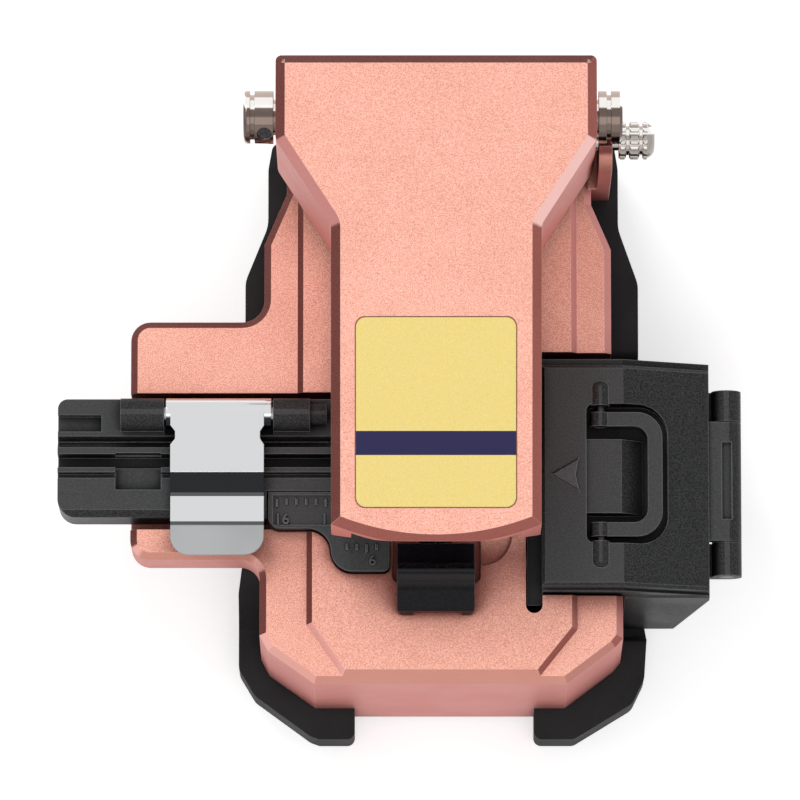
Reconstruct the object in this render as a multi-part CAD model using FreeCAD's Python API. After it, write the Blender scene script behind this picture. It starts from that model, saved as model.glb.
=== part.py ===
import FreeCAD, Part
import math
import os

# A hand-held fibre cleaver. Lengths are in millimetres.
# X runs right, Y runs to the hinge at the rear, Z runs up from the table.
# The origin is under the middle of the whole outline, on the table.

V = FreeCAD.Vector
RIGHT = V(1, 0, 0)
REAR = V(0, 1, 0)
UP = V(0, 0, 1)

# Heights of the base
boot_floor = 1.2
ledge_z = 20.0
deck_rise = 0.6
deck_z = ledge_z + deck_rise
edge_chamfer = 0.7
wing_thickness = 6.5
front_lean = 1.1
plate_thickness = 2.2
bay_top_z = 17.6

# Rubber boots
boot_front = -32.6
boot_side_z = 13.2
boot_front_z = 5.8
boot_rear = 29.3
boot_rear_z = 10.4

# Plan of the base
body_left_front = -14.36
body_left_rear = -13.93
body_left_tail = -11.64
body_right_front = 22.79
body_right_rear = 21.68
body_right_tail = 19.66
body_front = -28.55
body_rear = 30.5
wing_left = -27.6
wing_rear = 8.84
wing_front = -15.81
wing_corner = 2.0
wing_fillet = 2.3
deck_left = -10.56
deck_left_front = -9.62
deck_right = 18.2

# The line where the fibre lies, and the plane in which it is scored
centre_x = 3.65
fibre_y = -3.85
fibre_z = 21.6

# Channel for the adapter, and the notch for the scrap bin
channel_rear = 1.35
channel_front = -12.75
channel_floor = 16.0
channel_end = -6.0
notch_left = 12.86
notch_front = -19.6
notch_rear = 5.54
notch_floor = 5.0
slot_front = -21.46
slot_width = 1.68

# Bay for the blade carriage
bay_left = -4.6
bay_right = 10.8
bay_front = -24.5
bay_rear = 13.0
bay_rim = 3.4

# Hinge of the lever
hinge_y = 27.6
hinge_z = 33.0
shaft_r = 1.8
running_gap = 0.05
seat_gap = 0.02
eye_r = 3.2
head_r = 2.7
head_clearance = 0.35
cheek_width = 4.5
lever_open_deg = 60.0

# Lever
lever_x = 3.65
lever_rear = 32.6
lever_wide_half = 16.2
lever_narrow_half = 10.6
lever_bend_rear = 24.0
lever_bend_front = 15.3
lever_nose_corner = -14.35
lever_nose = -16.45
lever_top_z = 41.0
lever_nose_z = lever_top_z - 6.0
lever_break_y = 16.6
lever_wall = 2.0
lever_roof = 2.2
lever_rear_wall = 1.5
lever_rear_wall_foot = 34.2
lever_chamfer = 0.95
skirt_z = 23.2
skirt_nose_z = 27.0

# Blade and its carriage
blade_r = 7.0
blade_thickness = 1.0
blade_bore_r = 1.5
blade_above_fibre = 0.05
carriage_travel = 10.5
carriage_half = 5.5
axle_height = 5.45
rail_height = 2.5
rail_half_foot = 1.6
rail_half_top = 2.2
blade_slot_half = 1.7

# Knob
knob_half = 3.95
knob_front = -21.7
knob_rear = -17.0
knob_top_z = 26.0
knob_tail_rear = -14.4
knob_tail_z = 21.4

# Clamps
clamp_half = 1.8
clamp_side_gap = 0.55
clamp_offset = lever_narrow_half - lever_wall - clamp_side_gap - clamp_half
clamp_front = -8.2
clamp_rear = 0.5
pad_thickness = 0.5
pad_gap = 0.3
clamp_lift = 0.8
arm_foot_z = 29.4
carrier_top_z = 28.4

# Adapter, clip and scale plate
adapter_left = -35.0
adapter_right = -6.2
adapter_rear = 0.5
adapter_front = -11.65
adapter_step_x = -13.65
adapter_step_y = -9.0
adapter_top_z = 22.0
clip_axis_y = -1.2
clip_axis_z = 22.4
clip_pin_r = 0.7
knuckle_r = 1.6
clip_left = -23.42
clip_right = -13.87
clip_thickness = 0.45
clip_front = -15.9
plate_left = -13.45
plate_right = -1.1
plate_rear = -9.12
plate_front = -12.87
tab_left = -7.04
tab_front = -17.3
scale_top_z = 21.6
scale_tab_thickness = 2.0

# Scrap bin
bin_left = 14.55
bin_right = 31.7
bin_front = -19.35
bin_lean = 1.6
bin_rear = 4.65
bin_wall = 1.4
bin_rim_z = 21.5
bin_slope_x = 22.8
bin_foot_right = 28.34
bin_right_rim_z = 18.0
lid_thickness = 2.0
lid_hinge_x = 33.47
lid_hinge_z = 18.0
barrel_r = 1.53
barrel_rear = 1.75
barrel_front = -17.41
knuckle_rear_split = -1.53
knuckle_front_split = -13.84
lid_pin_r = 0.7
bail_x = 20.44
bail_z = 22.6
bail_right = 26.77
bail_rear = -1.15
bail_front = -13.96
bail_arm = 1.45
bail_pin_r = 0.5

# Screws
screw_r = 1.0
screw_head_r = 1.9
screw_head_height = 1.1
small_screw = 0.6
small_screw_r = screw_r * small_screw

# Lock pin in its ear
lock_y = 26.1
lock_z = 28.3
lock_pin_r = 1.0
lock_head_r = 1.8
lock_head_length = 3.67
ear_left = lever_x + lever_wide_half + 0.4
ear_right = ear_left + 1.35
ear_r = 3.4


def place(plane, a, b, c):
    """Point (a, b) of a plane at height c above it, as a vector."""
    if plane == "XY":
        return V(a, b, c)
    if plane == "YZ":
        return V(c, a, b)
    return V(a, c, b)


def outline(points, plane="XY", c=0.0):
    """Closed wire through corners (a, b) or (a, b, corner radius)."""
    count = len(points)
    starts = []
    edges = []
    for i in range(count):
        here = points[i]
        corner = V(here[0], here[1], 0)
        before = V(points[i - 1][0], points[i - 1][1], 0) - corner
        after = V(points[(i + 1) % count][0], points[(i + 1) % count][1], 0) - corner
        radius = here[2] if len(here) > 2 else 0.0
        if radius:
            half = before.getAngle(after) / 2
            before.normalize()
            after.normalize()
            reach = radius / math.tan(half)
            middle = before + after
            middle.normalize()
            bulge = corner + middle * (radius / math.sin(half) - radius)
            starts.append((corner + before * reach, bulge, corner + after * reach))
        else:
            starts.append((corner, None, corner))
    for i in range(count):
        first, bulge, last = starts[i]
        following = starts[(i + 1) % count][0]
        if bulge is not None:
            arc = [place(plane, p.x, p.y, c) for p in (first, bulge, last)]
            edges.append(Part.Arc(*arc).toShape())
        if last.distanceToPoint(following) > 1e-6:
            line = [place(plane, p.x, p.y, c) for p in (last, following)]
            edges.append(Part.LineSegment(*line).toShape())
    return Part.Wire(edges)


def prism(points, low, high, plane="XY"):
    """Solid between two heights over an outline in a plane."""
    face = Part.Face(outline(points, plane, low))
    return face.extrude(place(plane, 0, 0, high - low))


def block(x0, x1, y0, y1, z0, z1):
    return Part.makeBox(x1 - x0, y1 - y0, z1 - z0, V(x0, y0, z0))


def rod(r, start, direction, length):
    return Part.makeCylinder(r, length, V(*start), direction)


def rod_x(r, x0, x1, y, z):
    return rod(r, (x0, y, z), RIGHT, x1 - x0)


def rod_y(r, y0, y1, x, z):
    return rod(r, (x, y0, z), REAR, y1 - y0)


def rod_z(r, z0, z1, x, y):
    return rod(r, (x, y, z0), UP, z1 - z0)


def inset(points, depth):
    """Polygon moved inwards by depth, for corners listed anticlockwise."""
    moved = []
    count = len(points)
    for i in range(count):
        p = V(points[i][0], points[i][1], 0)
        back = p - V(points[i - 1][0], points[i - 1][1], 0)
        ahead = V(points[(i + 1) % count][0], points[(i + 1) % count][1], 0) - p
        back.normalize()
        ahead.normalize()
        bisector = V(-back.y - ahead.y, back.x + ahead.x, 0)
        bisector.normalize()
        reach = depth / (bisector.x * -back.y + bisector.y * back.x)
        corner = p + bisector * reach
        moved.append((corner.x, corner.y))
    return moved


def countersunk(x, y, z_face, length, inward, size=1.0):
    """Flat-headed screw whose head is flush with a face, pointing inward (+1 up, -1 down)."""
    head = Part.makeCone(screw_head_r * size, screw_r * size, screw_head_height * size,
                         V(x, y, z_face), UP * inward)
    shank = rod(screw_r * size, (x, y, z_face), UP * inward, length)
    drive = rod(screw_r * size * 0.6, (x, y, z_face), UP * inward, screw_head_height * size * 0.6)
    return head.fuse(shank).cut(drive).removeSplitter()


def countersink(x, y, z_face, length, inward, size=1.0):
    """Hole that takes the screw of the same place."""
    head = Part.makeCone(screw_head_r * size + seat_gap, screw_r * size + seat_gap,
                         screw_head_height * size, V(x, y, z_face), UP * inward)
    shank = rod(screw_r * size + seat_gap, (x, y, z_face), UP * inward, length + seat_gap)
    return head.fuse(shank)


def save(node, *solids):
    """Write one named piece, or a set of like pieces, as a STEP file."""
    shape = solids[0] if len(solids) == 1 else Part.makeCompound(list(solids))
    flat = shape.Solids
    shape = flat[0] if len(flat) == 1 else Part.makeCompound(flat)
    shape.exportStep("parts/" + node + ".step")
    box = shape.optimalBoundingBox()
    print("%-20s %2d solid(s) %8.1f mm3  x %6.2f %6.2f  y %6.2f %6.2f  z %6.2f %6.2f" % (
        node, len(flat), shape.Volume, box.XMin, box.XMax, box.YMin, box.YMax, box.ZMin, box.ZMax))


# Base body: milled block with a wing, a stepped deck, a bay for the carriage and hinge cheeks

def body_outline(lean):
    """Corners of the block, its front moved forward by lean."""
    return [
        (body_left_tail, body_rear), (body_left_tail, 22.2),
        (body_left_rear, 16.9), (body_left_rear, -4.0), (body_left_front, -5.0),
        (body_left_front, -23.55 - lean), (body_left_front + 0.88, -25.2 - lean),
        (-8.75, body_front - lean), (17.04, body_front - lean),
        (22.01, -24.79 - lean), (body_right_front, -23.86 - lean),
        (body_right_front, -6.0), (body_right_rear, -5.0),
        (body_right_rear, 16.4), (body_right_tail, 21.1), (body_right_tail, body_rear),
    ]


def base_block():
    """Outer form of the block, leaning out a little at the foot of its front."""
    foot = outline(body_outline(front_lean), c=boot_floor)
    top = outline(body_outline(0.0), c=ledge_z)
    return Part.makeLoft([foot, top], True, True)


def base_wing():
    points = [
        (wing_left, wing_rear, wing_corner), (wing_left, wing_front, wing_corner),
        (body_left_front, wing_front, wing_corner), (body_left_front, wing_front - 2.6),
        (0.0, wing_front - 2.6), (0.0, wing_rear + 3.0), (body_left_rear, wing_rear + 3.0),
        (body_left_rear, wing_rear, wing_fillet),
    ]
    return prism(points, ledge_z - wing_thickness, ledge_z)


def raised_deck():
    """Inner field of the deck, a step above the ledge, with sloping sides."""
    front = body_front + edge_chamfer - 0.05
    points = [
        (deck_left, body_rear - 0.8), (deck_left, -5.0), (deck_left_front, -6.0),
        (deck_left_front, -22.62), (-5.9, front), (14.35, front),
        (deck_right, -23.1), (deck_right, body_rear - 0.8),
    ]
    slab = prism(points, ledge_z - 0.5, deck_z)
    top = [e for e in slab.Edges if min(v.Z for v in e.Vertexes) > deck_z - 0.01]
    return slab.makeChamfer(deck_rise + 0.05, top)


def hinge_cheek(x0):
    """Upright that carries the hinge shaft, leaning forward below its eye."""
    points = [
        (hinge_y + 1.5, ledge_z), (hinge_y + 1.5, hinge_z - eye_r - 0.6),
        (hinge_y + 2.2, hinge_z - 2.0), (hinge_y - 2.9, hinge_z - 1.0),
        (hinge_y - 3.3, skirt_z - 0.4, 1.5), (hinge_y - 8.0, ledge_z),
    ]
    upright = prism(points, x0, x0 + cheek_width, "YZ")
    return upright.fuse(rod_x(eye_r, x0, x0 + cheek_width, hinge_y, hinge_z))


def lock_ear():
    """Ear at the right of the hinge that holds the lock pin."""
    low = boot_side_z + 0.1
    web = block(body_right_tail - 1.0, ear_right, lock_y - ear_r, lock_y + ear_r, low, ledge_z - 0.4)
    plate = block(ear_left, ear_right, lock_y - ear_r, lock_y + ear_r, low, lock_z)
    top = rod_x(ear_r, ear_left, ear_right, lock_y, lock_z)
    relief = rod_x(head_r + head_clearance, ear_left - 1.0, ear_right + 1.0, hinge_y, hinge_z)
    return web.fuse(plate).fuse(top).cut(relief)


cheek_left = lever_x - lever_wide_half + lever_wall + 0.5
cheek_right = lever_x + lever_wide_half - lever_wall - 0.5 - cheek_width
plate_points = [
    (bay_left - bay_rim, bay_rear + bay_rim), (bay_left - bay_rim, bay_front - 2.5),
    (bay_right + bay_rim, bay_front - 2.5), (bay_right + bay_rim, bay_rear + bay_rim),
]
plate_top_z = boot_floor + plate_thickness
plate_screw_in = 1.7
plate_screws = [(x, y) for x in (bay_left - plate_screw_in, bay_right + plate_screw_in)
                for y in (bay_front - 0.4, bay_rear + plate_screw_in)]
adapter_screw_places = [(-25.0, -10.2), (-25.0, -0.8)]


def carriage_bay():
    """Hollow under the deck for the carriage, with the rim that takes the bottom plate."""
    bay = prism([(bay_left, bay_rear, 1.5), (bay_left, bay_front, 1.5),
                 (bay_right, bay_front, 1.5), (bay_right, bay_rear, 1.5)], 0.0, bay_top_z)
    rim = prism([(x, y, 1.0) for x, y in plate_points], 0.0, plate_top_z)
    return bay.fuse(rim)


def blade_slot():
    """Way through the deck for the blade and the knob's stem, with its wider sunk field."""
    end = fibre_y + carriage_travel / 2 + blade_r + 0.6
    front = knob_front + 0.4
    way = prism([(centre_x - blade_slot_half, end, 1.2), (centre_x - blade_slot_half, front, 1.2),
                 (centre_x + blade_slot_half, front, 1.2), (centre_x + blade_slot_half, end, 1.2)],
                bay_top_z - 1.0, deck_z + 1.0)
    field = prism([(centre_x - 4.45, -8.7), (centre_x - 4.45, -18.4, 0.8),
                   (centre_x + 4.6, -18.4, 0.8), (centre_x + 4.6, -8.7)], deck_z - 1.5, deck_z + 1.0)
    thumb = rod_z(3.2, deck_z - 0.5, deck_z + 1.0, centre_x + 4.6, -13.4)
    return way.fuse(field).fuse(thumb)


def bin_notch():
    notch = block(notch_left, 30.0, notch_front, notch_rear, notch_floor, deck_z + 5.0)
    slot = block(notch_left, notch_left + slot_width, slot_front + slot_width / 2, notch_front + 1.0,
                 notch_floor, deck_z + 5.0)
    end = rod_z(slot_width / 2, notch_floor, deck_z + 5.0, notch_left + slot_width / 2,
                slot_front + slot_width / 2)
    return notch.fuse(slot).fuse(end)


def tab_outline(gap):
    """Front tab of the scale plate, grown by a gap."""
    return [
        (plate_left - gap, plate_rear), (plate_right + gap, plate_rear),
        (plate_right + gap, tab_front - gap, 0.6 + gap), (tab_left - gap, tab_front - gap, 2.2 + gap),
        (tab_left - gap, plate_front - gap, 2.4 - gap), (plate_left - gap, plate_front - gap, 1.2 + gap),
    ]


def make_base_body():
    body = base_block().fuse(base_wing()).removeSplitter()
    top = max((f for f in body.Faces if f.BoundBox.ZMin > ledge_z - 0.01), key=lambda f: f.Area)
    body = body.makeChamfer(edge_chamfer, top.OuterWire.Edges)
    body = body.fuse(raised_deck())
    body = body.fuse(hinge_cheek(cheek_left)).fuse(hinge_cheek(cheek_right))
    body = body.fuse(lock_ear())
    body = body.cut(carriage_bay()).cut(blade_slot()).cut(bin_notch())
    body = body.cut(block(wing_left - 8.0, channel_end, channel_front, channel_rear, channel_floor, deck_z + 5.0))
    body = body.cut(prism(tab_outline(0.15), scale_top_z - scale_tab_thickness, deck_z + 5.0))
    for side in (-1, 1):
        x = centre_x + side * clamp_offset
        body = body.cut(block(x - clamp_half - seat_gap, x + clamp_half + seat_gap,
                              clamp_front - seat_gap, clamp_rear + seat_gap, deck_z - 1.6, deck_z + 5.0))
        for y in clamp_screw_rows:
            body = body.cut(countersink(x, y, clamp_block_z, clamp_screw_length, -1, small_screw))
    body = body.cut(rod_x(shaft_r + seat_gap, cheek_left - 1.0, cheek_right + cheek_width + 1.0, hinge_y, hinge_z))
    body = body.cut(rod_x(lock_pin_r + running_gap, ear_left - 1.0, ear_right + 1.0, lock_y, lock_z))
    for x, y in plate_screws:
        body = body.cut(countersink(x, y, boot_floor, 8.0, 1))
    for x, y in adapter_screw_places:
        body = body.cut(countersink(x, y, ledge_z - wing_thickness, 7.0, 1))
    for z in bin_screw_heights:
        body = body.cut(rod_x(screw_r + seat_gap, bay_right - 1.0, notch_left + 1.0, bin_screw_y, z))
    return body.removeSplitter()


clamp_screw_rows = (clamp_front + 1.3, clamp_rear - 1.3)
clamp_block_z = fibre_z - pad_thickness
clamp_screw_length = 4.5
bin_screw_y = -15.5
bin_screw_heights = (9.0, 15.0)


def make_bottom_plate():
    plate = prism([(x, y, 1.0) for x, y in inset(plate_points, seat_gap)], boot_floor, plate_top_z)
    for x, y in plate_screws:
        plate = plate.cut(countersink(x, y, boot_floor, 8.0, 1))
    for y in rail_screw_rows:
        plate = plate.cut(countersink(centre_x, y, boot_floor, 4.0, 1))
    return plate


def make_boot(outer, floor_inner, profile):
    """Rubber boot: a wall round the block and a thin floor under its edge."""
    low = min(x for x, _, *_ in outer) - 1.0
    high = max(x for x, _, *_ in outer) + 1.0
    wall = prism(outer, 0.0, ledge_z)
    wall = wall.common(prism(profile, low, high, "YZ"))
    wall = wall.cut(base_block())
    return wall.cut(prism(floor_inner, -1.0, boot_floor + 0.1))


def make_boot_left():
    outer = [
        (-8.0, boot_rear), (-13.2, boot_rear, 1.0), (-13.65, 26.0, 4.0), (-13.65, 20.0, 4.0),
        (-15.99, 14.2, 3.0), (-15.99, -14.0, 3.0),
        (-16.7, -17.9, 3.0), (-16.7, -25.3, 1.5), (-15.03, -28.08, 1.5), (-9.32, -32.26, 1.2),
        (-8.4, boot_front, 1.0), (-4.7, boot_front, 0.8), (-4.7, -25.0), (-8.0, -20.0),
    ]
    floor_inner = [(-10.2, 30.0), (-10.2, -20.8, 2.0), (-6.6, -25.4, 2.0), (0.0, -25.4), (0.0, 30.0)]
    profile = [
        (boot_rear + 0.2, -0.01), (boot_rear + 0.2, boot_rear_z, 2.0), (boot_rear - 3.4, boot_side_z, 2.0),
        (-15.4, boot_side_z, 3.0),
        (-20.0, boot_front_z, 3.0), (-34.0, boot_front_z), (-34.0, -0.01),
    ]
    return make_boot(outer, floor_inner, profile)


def make_boot_right():
    outer = [
        (16.0, boot_rear), (16.0, -20.0), (13.88, -25.0), (13.88, boot_front, 0.8), (18.0, boot_front, 1.2),
        (24.04, -28.9, 1.5), (25.3, -26.3, 1.5), (25.58, -22.0, 3.0), (24.62, -17.0, 3.0),
        (24.62, 13.9, 3.0), (22.58, 19.7, 4.0), (22.58, 26.0, 4.0), (22.2, boot_rear, 1.0),
    ]
    floor_inner = [(10.0, 30.0), (10.0, -25.4), (16.2, -25.4, 2.0), (18.6, -21.4, 2.0), (18.6, 30.0)]
    profile = [
        (boot_rear + 0.2, -0.01), (boot_rear + 0.2, boot_rear_z, 2.0), (boot_rear - 3.4, boot_side_z, 2.0),
        (notch_rear + 0.1, boot_side_z, 1.5),
        (notch_rear - 0.3, notch_floor - 0.4), (notch_front - 2.2, notch_floor - 0.4),
        (notch_front - 2.6, boot_front_z, 0.4), (-34.0, boot_front_z), (-34.0, -0.01),
    ]
    return make_boot(outer, floor_inner, profile)


# Rail, carriage and blade

rail_z = plate_top_z
rail_top_z = rail_z + rail_height
rail_screw_rows = (-18.0, 8.0)
carriage_z = rail_z + 0.8
blade_z = fibre_z + blade_above_fibre - blade_r
carriage_top_z = blade_z - axle_height
blade_y = fibre_y - carriage_travel / 2
bracket_gap = 0.25
bracket_thickness = 2.0
bracket_right = centre_x - blade_thickness / 2 - bracket_gap
bracket_left = bracket_right - bracket_thickness
bracket_screw_rows = (blade_y - 3.6, blade_y + 3.6)
height_screw_r = 0.75
stem_half = blade_slot_half - 0.3
stem_front = knob_front + 1.1
stem_rear = stem_front + 3.0
stem_y = (stem_front + stem_rear) / 2
carriage_front = stem_front - 0.2
carriage_rear = blade_y + 9.7
bracket_screw_x = bracket_left - 1.2
bracket_foot = 1.4
bracket_half = 5.2


def rail_profile(gap):
    return [
        (centre_x - rail_half_foot - gap, rail_z - gap), (centre_x - rail_half_top - gap, rail_top_z + gap),
        (centre_x + rail_half_top + gap, rail_top_z + gap), (centre_x + rail_half_foot + gap, rail_z - gap),
    ]


def make_guide_rail():
    rail = prism(rail_profile(0.0), bay_front + 0.8, bay_rear - 0.8, "XZ")
    for y in rail_screw_rows:
        rail = rail.cut(rod_z(screw_r + seat_gap, rail_z - 1.0, rail_top_z + 1.0, centre_x, y))
    return rail


def make_carriage():
    body = block(centre_x - carriage_half, centre_x + carriage_half, carriage_front, carriage_rear,
                 carriage_z, carriage_top_z)
    upright = [e for e in body.Edges if abs(e.Vertexes[0].Z - e.Vertexes[-1].Z) > 1.0]
    body = body.makeFillet(1.0, upright)
    body = body.cut(prism(rail_profile(running_gap), carriage_front - 1.0, carriage_rear + 1.0, "XZ"))
    room = math.sqrt(blade_r ** 2 - (blade_z - carriage_top_z) ** 2) + 0.8
    body = body.cut(block(centre_x - 0.9, centre_x + 0.9, blade_y - room, blade_y + room,
                          blade_z - blade_r - 0.35, carriage_top_z + 1.0))
    stem = block(centre_x - stem_half, centre_x + stem_half, stem_front, stem_rear,
                 carriage_top_z, deck_z + 0.15)
    body = body.fuse(stem)
    body = body.cut(rod_z(small_screw_r + seat_gap, carriage_top_z + 4.0, deck_z + 1.0, centre_x, stem_y))
    for y in bracket_screw_rows:
        body = body.cut(rod_z(small_screw_r + seat_gap, carriage_top_z - 2.4, carriage_top_z + 1.0,
                              bracket_screw_x, y))
    return body.removeSplitter()


def make_knob():
    """Finger knob with a hollow front face and two small feet."""
    side = prism([
        (knob_front, deck_z + 0.15), (knob_front + 0.3, deck_z + 1.3, 0.4), (knob_front + 2.6, deck_z + 3.2, 3.0),
        (knob_rear - 0.9, knob_top_z, 0.6), (knob_rear, knob_top_z - 0.5, 0.3), (knob_rear, deck_z + 0.15),
    ], centre_x - knob_half, centre_x + knob_half, "YZ")
    plan = prism([
        (centre_x - knob_half, knob_rear, 0.6), (centre_x - knob_half, knob_front, 0.6),
        (centre_x + knob_half, knob_front, 0.6), (centre_x + knob_half, knob_rear, 0.6),
    ], deck_z - 1.0, knob_top_z + 1.0)
    knob = side.common(plan)
    tail = block(centre_x - knob_half, centre_x + knob_half, knob_rear - 1.0, knob_tail_rear,
                 deck_z + 0.15, knob_tail_z)
    knob = knob.fuse(tail)
    between_feet = block(centre_x - knob_half + 1.7, centre_x + knob_half - 1.3,
                         knob_front - 1.0, knob_front + 0.25, deck_z - 1.0, deck_z + 1.4)
    knob = knob.cut(between_feet)
    hole = rod_z(small_screw_r + seat_gap, deck_z, deck_z + 2.5, centre_x, stem_y)
    return knob.cut(hole).removeSplitter()


def make_knob_screw():
    return rod_z(small_screw_r, carriage_top_z + 4.2, deck_z + 2.4, centre_x, stem_y)


def make_blade_bracket():
    points = [
        (blade_y - bracket_half, carriage_top_z), (blade_y - bracket_half, carriage_top_z + bracket_foot),
        (blade_y - 2.9, blade_z - 1.0, 1.0), (blade_y - 2.6, blade_z + 2.4, 2.0),
        (blade_y + 2.6, blade_z + 2.4, 2.0), (blade_y + 2.9, blade_z - 1.0, 1.0),
        (blade_y + bracket_half, carriage_top_z + bracket_foot), (blade_y + bracket_half, carriage_top_z),
    ]
    plate = prism(points, bracket_left, bracket_right, "YZ")
    foot = block(bracket_left - 2.4, bracket_left, blade_y - bracket_half, blade_y + bracket_half,
                 carriage_top_z, carriage_top_z + bracket_foot)
    hub = rod_x(2.5, bracket_right, centre_x - blade_thickness / 2 - running_gap, blade_y, blade_z)
    bracket = plate.fuse(foot).fuse(hub)
    bracket = bracket.cut(rod_x(blade_bore_r - running_gap + seat_gap, bracket_left - 1.0, centre_x,
                                blade_y, blade_z))
    for y in bracket_screw_rows:
        bracket = bracket.cut(rod_z(small_screw_r + seat_gap, carriage_top_z - 1.0, carriage_top_z + 2.0,
                                    bracket_screw_x, y))
    bracket = bracket.cut(rod_z(height_screw_r + seat_gap, carriage_top_z - 1.0, carriage_top_z + 2.0,
                                bracket_screw_x, blade_y))
    return bracket.removeSplitter()


def make_bracket_screws():
    screws = []
    for y in bracket_screw_rows:
        shank = rod_z(small_screw_r, carriage_top_z - 2.2, carriage_top_z + bracket_foot, bracket_screw_x, y)
        head = rod_z(screw_r, carriage_top_z + bracket_foot, carriage_top_z + 2.2, bracket_screw_x, y)
        screws.append(shank.fuse(head))
    return screws


def make_height_screw():
    """Grub screw through the bracket's foot that sets the blade's height."""
    screw = rod_z(height_screw_r, carriage_top_z, carriage_top_z + 2.2, bracket_screw_x, blade_y)
    socket = rod_z(height_screw_r * 0.5, carriage_top_z + bracket_foot, carriage_top_z + 3.0,
                   bracket_screw_x, blade_y)
    return screw.cut(socket)


def make_blade():
    half = blade_thickness / 2
    disc = rod_x(blade_r, centre_x - half, centre_x + half, blade_y, blade_z)
    rim = [e for e in disc.Edges if e.Length > blade_r and len(e.Vertexes) == 1]
    disc = disc.makeChamfer(half - 0.06, rim)
    return disc.cut(rod_x(blade_bore_r, centre_x - 2.0, centre_x + 2.0, blade_y, blade_z))


def make_blade_screw():
    shank = rod_x(blade_bore_r - running_gap, bracket_left, centre_x + blade_thickness / 2 + running_gap,
                  blade_y, blade_z)
    x = centre_x + blade_thickness / 2 + running_gap
    head = rod_x(2.4, x, x + 1.1, blade_y, blade_z)
    slot = block(x + 0.6, x + 2.0, blade_y - 3.0, blade_y + 3.0, blade_z - 0.3, blade_z + 0.3)
    return shank.fuse(head).cut(slot).removeSplitter()


# Lower clamps on the deck

def make_clamp_blocks():
    blocks = []
    for side in (-1, 1):
        x = centre_x + side * clamp_offset
        solid = block(x - clamp_half, x + clamp_half, clamp_front, clamp_rear, deck_z - 1.6, clamp_block_z)
        for y in clamp_screw_rows:
            solid = solid.cut(countersink(x, y, clamp_block_z, clamp_screw_length, -1, small_screw))
        blocks.append(solid)
    return blocks


def make_clamp_block_screws():
    return [countersunk(centre_x + side * clamp_offset, y, clamp_block_z, clamp_screw_length, -1,
                        small_screw)
            for side in (-1, 1) for y in clamp_screw_rows]


def pad_pair(z0, z1):
    pads = []
    for side in (-1, 1):
        x = centre_x + side * clamp_offset
        half = clamp_half - 0.3
        pads.append(block(x - half, x + half, fibre_y - 1.3, fibre_y + 1.3, z0, z1))
    return pads


stop_places = [(centre_x + side * clamp_offset, 3.6) for side in (-1, 1)]


def make_stop_pads():
    return [rod_z(1.4, deck_z, fibre_z, x, y) for x, y in stop_places]


# Lever

def lever_slope_z(y):
    """Height of the plane of the lever's sloping front at a place along it."""
    slope = (lever_top_z - lever_nose_z) / (lever_break_y - lever_nose)
    return lever_top_z - slope * (lever_break_y - y)


def lever_surface(y):
    """Height of the lever's top at a place along it."""
    return min(lever_top_z, lever_slope_z(y))


def lever_plan():
    return [
        (lever_x + lever_wide_half, lever_rear), (lever_x - lever_wide_half, lever_rear),
        (lever_x - lever_wide_half, lever_bend_rear), (lever_x - lever_narrow_half, lever_bend_front),
        (lever_x - lever_narrow_half, lever_nose_corner), (lever_x + lever_narrow_half, lever_nose_corner),
        (lever_x + lever_narrow_half, lever_bend_front), (lever_x + lever_wide_half, lever_bend_rear),
    ]


def lever_outline_face(z):
    """Plan of the lever with its bowed nose and softened bends."""
    points = lever_plan()
    softened = [0.6, 0.6, 1.5, 1.5, 0.0, 0.0, 1.5, 1.5]
    wire = outline([(x, y, r) for (x, y), r in zip(points, softened)], c=z)
    edges = []
    for edge in wire.Edges:
        if max(abs(v.Y - lever_nose_corner) for v in edge.Vertexes) < 1e-6:
            nose = Part.Arc(edge.Vertexes[0].Point, V(lever_x, lever_nose, z), edge.Vertexes[1].Point)
            edges.append(nose.toShape())
        else:
            edges.append(edge)
    return Part.Face(Part.Wire(Part.__sortEdges__(edges)))


def lever_side(drop, low, front, rear):
    """Side view of the lever's top, lowered by drop and closed at a low level."""
    return [
        (rear, low), (rear, lever_surface(rear) - drop), (lever_break_y, lever_top_z - drop),
        (front, lever_surface(front) - drop), (front, low),
    ]


def skirt_foot():
    """Space under the lever's lower edge."""
    return [
        (lever_rear + 5.0, 0.0), (lever_rear + 5.0, skirt_z + 6.0), (lever_rear - 1.5, skirt_z, 3.0),
        (0.0, skirt_z), (-4.0, skirt_z + 1.2), (lever_nose_corner, skirt_nose_z, 0.8),
        (lever_nose_corner - 2.6, lever_nose_z + 3.0), (lever_nose_corner - 2.6, 0.0),
    ]


def lock_groove():
    """Arc groove in the right skirt that the lock pin's tip rides in."""
    arm_y = lock_y - hinge_y
    arm_z = lock_z - hinge_z
    reach = math.hypot(arm_y, arm_z)
    start = math.degrees(math.atan2(arm_z, arm_y))
    inner = lever_x + lever_wide_half - lever_wall + 0.6
    outer = lever_x + lever_wide_half + 1.0
    ring = Part.makeCylinder(reach + lock_pin_r + 0.15, outer - inner, V(inner, hinge_y, hinge_z), RIGHT)
    ring = ring.cut(Part.makeCylinder(reach - lock_pin_r - 0.15, outer - inner, V(inner, hinge_y, hinge_z), RIGHT))
    sweep = [(hinge_y, hinge_z)]
    for step in range(0, 5):
        angle = math.radians(start + step * lever_open_deg / 4)
        sweep.append((hinge_y + 12.0 * math.cos(angle), hinge_z + 12.0 * math.sin(angle)))
    groove = ring.common(prism(sweep, inner, outer, "YZ"))
    for angle in (start, start + lever_open_deg):
        y = hinge_y + reach * math.cos(math.radians(angle))
        z = hinge_z + reach * math.sin(math.radians(angle))
        groove = groove.fuse(rod_x(lock_pin_r + 0.15, inner, outer, y, z))
    return groove


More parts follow.
